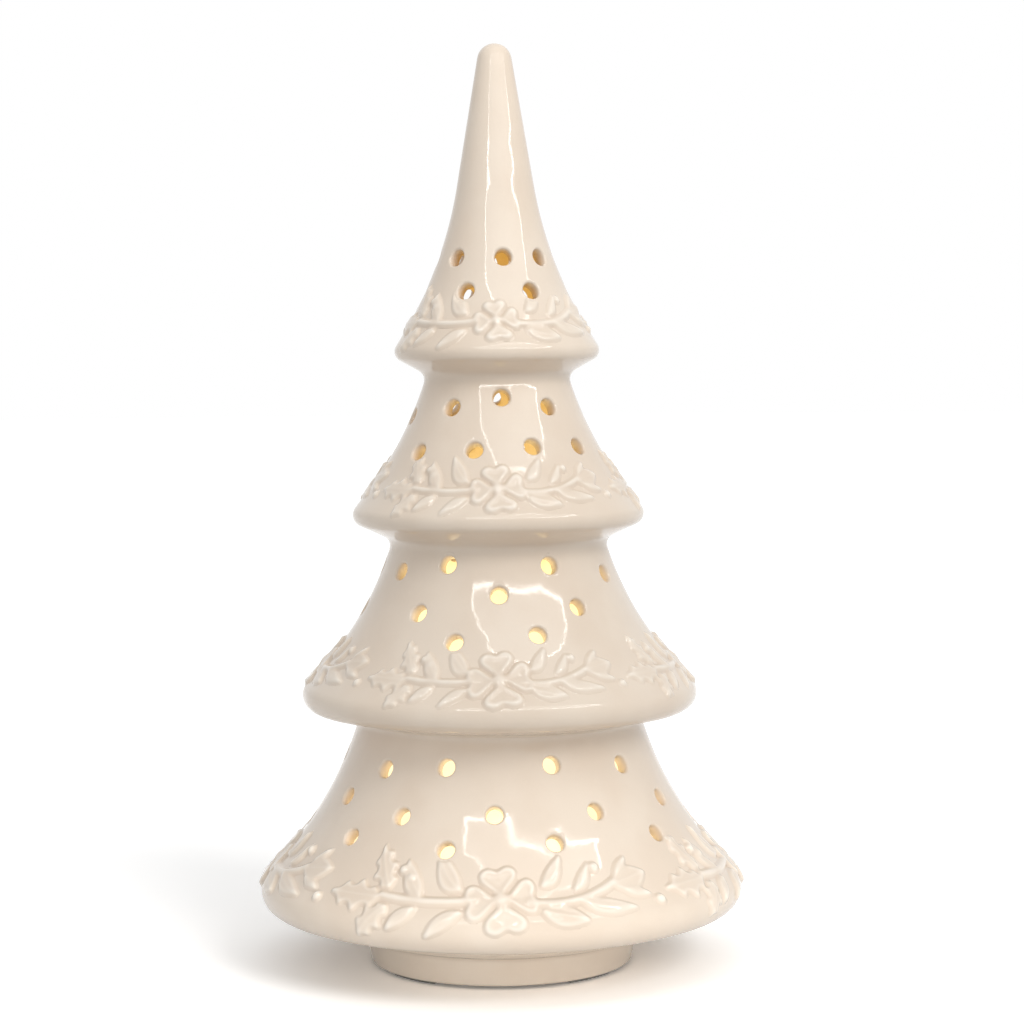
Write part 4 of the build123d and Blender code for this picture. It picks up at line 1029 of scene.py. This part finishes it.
def make_felt():
    builder = bmesh.new()
    for count in range(FELT_COUNT):
        start = math.radians(FELT_FIRST + 360 / FELT_COUNT * count) - FELT_ARC / 2
        turn = Matrix.Rotation(start, 3, "Z")
        ring = []
        for across, up in ((-0.5, 0), (0.5, 0), (0.5, 1), (-0.5, 1)):
            corner = Vector((FELT_MIDDLE + across * FELT_WIDTH, 0, up * FELT_THICKNESS))
            ring.append(builder.verts.new(turn @ corner))
        spin_up(builder, [builder.faces.new(ring)], FELT_ARC, FELT_STEPS)
    close_up(builder)
    sharp = [edge for edge in builder.edges if edge.calc_face_angle(0) > SHARP_ANGLE]
    bmesh.ops.bevel(
        builder, geom=sharp, offset=FELT_ROUND, affect="EDGES", segments=FELT_ROUND_STEPS, profile=0.5,
        material=-1, offset_type="OFFSET", clamp_overlap=True,
    )
    piece = new_object("felt_strips", builder)
    piece.data.shade_smooth()
    return piece


felt = make_felt()
felt.data.materials.append(finish("green_grey_felt", *FELT))
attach(felt, "tree")
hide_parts("felt_pads")
print("felt strips:", len(felt.data.polygons), "faces")

# %% [markdown]
# ## The light unit's finishes
# The unit is seen only from below, or with the tree lifted off. Its solids keep their true shapes, and each gets
# the finish of its own material, such as fine-grained moulded plastic, soft silicone, plated metal, or printed
# cell jackets with a bright end.

# %% Finishes of the light unit
JACKET = ((0.055, 0.075, 0.12), (0.045, 0.06, 0.1), (0.22, 0.32), 160, 0.05, (240, 0.02))
# The solids that wear a finish, and its row of values
UNIT_FINISHES = {
    "moulded_housing": (
        ["light_cup", "battery_door", "light_deck"],
        (0.62, 0.6, 0.56), (0.58, 0.56, 0.52), (0.42, 0.55), 90, 0.06, (500, 0.02), (2400, 0.035),
    ),
    "grey_silicone": (
        ["grip_ring"],
        (0.36, 0.36, 0.35), (0.31, 0.31, 0.3), (0.62, 0.75), 120, 0.05, (300, 0.03), (1800, 0.03),
    ),
    "plated_contact": (
        ["contact_negative", "contact_positive", "contact_bridge_left", "contact_bridge_right", "switch_pins"],
        (0.66, 0.64, 0.6), (0.56, 0.54, 0.5), (0.22, 0.36), 260, 0.08, (400, 0.02), (2600, 0.02), 1,
    ),
    "screw_steel": (
        ["switch_screws", "deck_screws", "board_screws"],
        (0.55, 0.55, 0.55), (0.42, 0.42, 0.43), (0.28, 0.42), 500, 0.12, (700, 0.03), (3000, 0.03), 1,
    ),
    "switch_plastic": (
        ["switch_body", "switch_knob"],
        (0.04, 0.04, 0.042), (0.03, 0.03, 0.032), (0.4, 0.52), 200, 0.1, (600, 0.02), (2600, 0.04),
    ),
    "white_board": (
        ["led_board"],
        (0.78, 0.79, 0.77), (0.7, 0.72, 0.69), (0.3, 0.42), 150, 0.06, (300, 0.02), (1500, 0.02),
    ),
    "cell_jacket_right": (["cell_1", "cell_3"], *JACKET),
    "cell_jacket_left": (["cell_2"], *JACKET),
    "black_lead": (
        ["lead_negative"],
        (0.025, 0.025, 0.027), (0.018, 0.018, 0.02), (0.38, 0.5), 300, 0.1, (900, 0.03), (2400, 0.02),
    ),
    "red_lead": (
        ["lead_positive", "lead_switched"],
        (0.42, 0.02, 0.016), (0.34, 0.014, 0.012), (0.36, 0.48), 300, 0.1, (900, 0.03), (2400, 0.02),
    ),
    "lamp_lens": (["leds"], (0.9, 0.8, 0.52), (0.86, 0.74, 0.44), (0.2, 0.3), 400, 0.05),
    "frosted_diffuser": (
        ["diffuser"],
        (0.86, 0.84, 0.79), (0.82, 0.79, 0.73), (0.5, 0.62), 70, 0.04, (160, 0.02), (1900, 0.03),
    ),
}
# Which way the plus end of a cell points, and the marks of its jacket: where each starts, and its colour
PLUS_ENDS = {"cell_jacket_right": 1, "cell_jacket_left": -1}
CELL_MARKS = [(0.42, (0.62, 0.40, 0.14)), (0.935, (0.60, 0.60, 0.58))]
# Light of the lamps, at its fullest and where it is a little weaker, and its strength
GLOW = (1.0, 0.80, 0.47)
GLOW_WEAK = (0.92, 0.688, 0.3666)
GLOW_STRENGTH = {"lamp_lens": 4.0, "frosted_diffuser": 0.8}

cell_low, cell_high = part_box("cell_1")
CELL_HALF = (cell_high.x - cell_low.x) / 2


def mark_jacket(material, plus):
    """A coppery band towards the plus end of a cell, and bare metal at that end."""
    tree = material.node_tree
    along = maths(tree, "MULTIPLY", object_place(tree, "X"), plus / CELL_HALF)
    tint(material, [(maths(tree, "GREATER_THAN", along, start), colour) for start, colour in CELL_MARKS])


made = {}
for name, (wearers, *values) in UNIT_FINISHES.items():
    made[name] = finish(name, *values)
    for node in wearers:
        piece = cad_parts[node]
        piece.data.materials.clear()
        piece.data.materials.append(made[name])
for name, plus in PLUS_ENDS.items():
    mark_jacket(made[name], plus)
for name, strength in GLOW_STRENGTH.items():
    tree = made[name].node_tree
    uneven = tree.nodes[MOTTLE.name].outputs["Mask"]
    shine(made[name], blend(tree, uneven, GLOW, GLOW_WEAK), strength)
print("finishes on", sum(len(row[0]) for row in UNIT_FINISHES.values()), "solids")

# %% [markdown]
# ## Floor and light
# The tree stands on a plain white sweep. A bright dome gives most of the light, a broad key from the right
# shapes the tiers and leaves their left sides in shade, and two weak fills and a low lamp reach under the
# brims. A softbox with a bright rim, in front and above, gives the reflections in the glaze. The floor is white
# enough to vanish into the background and still takes the tree's shadow. From below it is clear, with a round
# opening under the light unit, so that the underside shows and gets some light.

# %% Floor
FLOOR_RADIUS = 6.0
FLOOR_SIDES = 96
FLOOR_OPENING = 34.0 * MM
FLOOR_SEEN = 1.42
FLOOR_BOUNCE = 0.66


def seen_directly(tree):
    """1 where the camera sees something itself, or in a mirror or through glass."""
    path = tree.nodes.new("ShaderNodeLightPath").outputs
    mirrored = maths(tree, "MAXIMUM", path["Is Glossy Ray"], path["Is Transmission Ray"])
    return maths(tree, "MAXIMUM", path["Is Camera Ray"], mirrored)


def make_floor():
    builder = bmesh.new()
    bmesh.ops.create_circle(builder, cap_ends=False, radius=FLOOR_OPENING, segments=FLOOR_SIDES)
    outer = points_of(bmesh.ops.extrude_edge_only(builder, edges=builder.edges[:])["geom"])
    bmesh.ops.scale(builder, vec=Vector((1, 1, 1)) * FLOOR_RADIUS / FLOOR_OPENING, verts=outer)
    bmesh.ops.recalc_face_normals(builder, faces=builder.faces)
    builder.normal_update()
    if sum(face.normal.z for face in builder.faces) < 0:
        bmesh.ops.reverse_faces(builder, faces=builder.faces)
    floor = new_object("floor", builder)
    material = bpy.data.materials.new("white_sweep")
    material.use_nodes = True
    tree = material.node_tree
    tree.nodes.remove(tree.nodes[SHADER])
    matt = tree.nodes.new("ShaderNodeBsdfDiffuse")
    tree.links.new(ranged(tree, seen_directly(tree), (FLOOR_BOUNCE, FLOOR_SEEN)), matt.inputs["Color"])
    clear = tree.nodes.new("ShaderNodeBsdfTransparent")
    side = tree.nodes.new("ShaderNodeNewGeometry")
    mix = tree.nodes.new("ShaderNodeMixShader")
    ends = (side.outputs["Backfacing"], matt.outputs["BSDF"], clear.outputs["BSDF"])
    for socket, end in zip(mix.inputs, ends):
        tree.links.new(end, socket)
    tree.links.new(mix.outputs["Shader"], tree.nodes["Material Output"].inputs["Surface"])
    floor.data.materials.append(material)


make_floor()
print("floor", FLOOR_RADIUS * 2, "m wide")

# %% Dome and lamps
DOME = 0.60
# Sun-like lamps: azimuth from the front, elevation, strength, angle of softness
SUNS = {
    "key": (36, 35, 0.95, 24),
    "fill": (10, 3, 0.26, 40),
    "left": (-50, 5, 0.08, 40),
}
WARM_WHITE = (1.0, 0.985, 0.96)
# Octagonal softbox: direction from the front, distance from the axis, height of its middle, half its width and
# height, brightness of its cloth, and width, brightness, sides and place of its rim
BOX_AZIMUTH = math.radians(20)
BOX_DISTANCE, BOX_MIDDLE = 0.28, 0.478
BOX_HALF = Vector((0.31, 0.150))
BOX_LEVEL = 1.0
RIM_WIDTH, RIM_LEVEL, RIM_SIDES, RIM_AHEAD = 0.014, 12.0, 8, 0.01
# A low lamp in front with a narrow beam lights the foot under the wide brim
LOW_FROM = Vector((0.08, -0.36, 0.025))
LOW_AIM = Vector((0, 0, 0.01))
LOW_SIZE = (0.50, 0.06)
LOW_LEVEL = 0.64
LOW_BEAM = math.radians(28)


def make_world():
    """A dome that is white to the eye and lights the tree less."""
    world = bpy.data.worlds.new("studio")
    bpy.context.scene.world = world
    world.use_nodes = True
    tree = world.node_tree
    background = tree.nodes["Background"]
    background.inputs["Color"].default_value = (1, 1, 1, 1)
    tree.links.new(ranged(tree, seen_directly(tree), (DOME, 1.0)), background.inputs["Strength"])


def add_lamp(name, kind, energy, place, target):
    """A lamp at a place that shines at a target."""
    data = bpy.data.lights.new(name, kind)
    data.energy = energy
    data.color = WARM_WHITE
    lamp = bpy.data.objects.new(name, data)
    turn = (target - place).to_track_quat("-Z", "Y").to_matrix().to_4x4()
    lamp.matrix_world = Matrix.Translation(place) @ turn
    bpy.context.collection.objects.link(lamp)
    return lamp


def add_area(name, place, target, size, level, turn=0.0):
    """A flat lamp of this brightness, turned in its own plane."""
    lamp = add_lamp(name, "AREA", level * math.pi * size[0] * size[1], place, target)
    lamp.data.shape = "RECTANGLE"
    lamp.data.size, lamp.data.size_y = size
    lamp.matrix_world = lamp.matrix_world @ Matrix.Rotation(turn, 4, "Z")
    return lamp


make_world()
for name, (azimuth, elevation, strength, softness) in SUNS.items():
    place = in_space(direction(math.radians(elevation)), math.radians(azimuth))
    sun = add_lamp(name, "SUN", strength, place, Vector((0, 0, 0)))
    sun.data.angle = math.radians(softness)
    sun.visible_glossy = False

box_front = Vector((-math.sin(BOX_AZIMUTH), math.cos(BOX_AZIMUTH), 0))
box_side = Vector((math.cos(BOX_AZIMUTH), math.sin(BOX_AZIMUTH), 0))
box_middle = -box_front * BOX_DISTANCE + Vector((0, 0, BOX_MIDDLE))
cloth = add_area("softbox", box_middle, box_middle + box_front, 2 * BOX_HALF, BOX_LEVEL)
cloth.data.shape = "ELLIPSE"
corners = [BOX_HALF * direction((count + 0.5) * 2 * math.pi / RIM_SIDES) for count in range(RIM_SIDES)]
for count, (start, end) in enumerate(zip(corners, corners[1:] + corners[:1])):
    way = end - start
    middle = (start + end) / 2
    place = box_middle + box_side * middle.x + Vector((0, 0, middle.y)) + box_front * RIM_AHEAD
    rim = add_area(
        f"rim_{count}", place, place + box_front, (way.length, RIM_WIDTH), RIM_LEVEL, math.atan2(way.y, way.x)
    )
    rim.visible_diffuse = False
low_lamp = add_area("low_front", LOW_FROM, LOW_AIM, LOW_SIZE, LOW_LEVEL)
low_lamp.data.spread = LOW_BEAM
low_lamp.visible_glossy = False
print("dome", DOME, "lamps", len(bpy.data.lights))

# %% [markdown]
# ## View settings
# The picture is shown with the plain Standard transform.

# %% Finish
bpy.context.scene.view_settings.view_transform = "Standard"
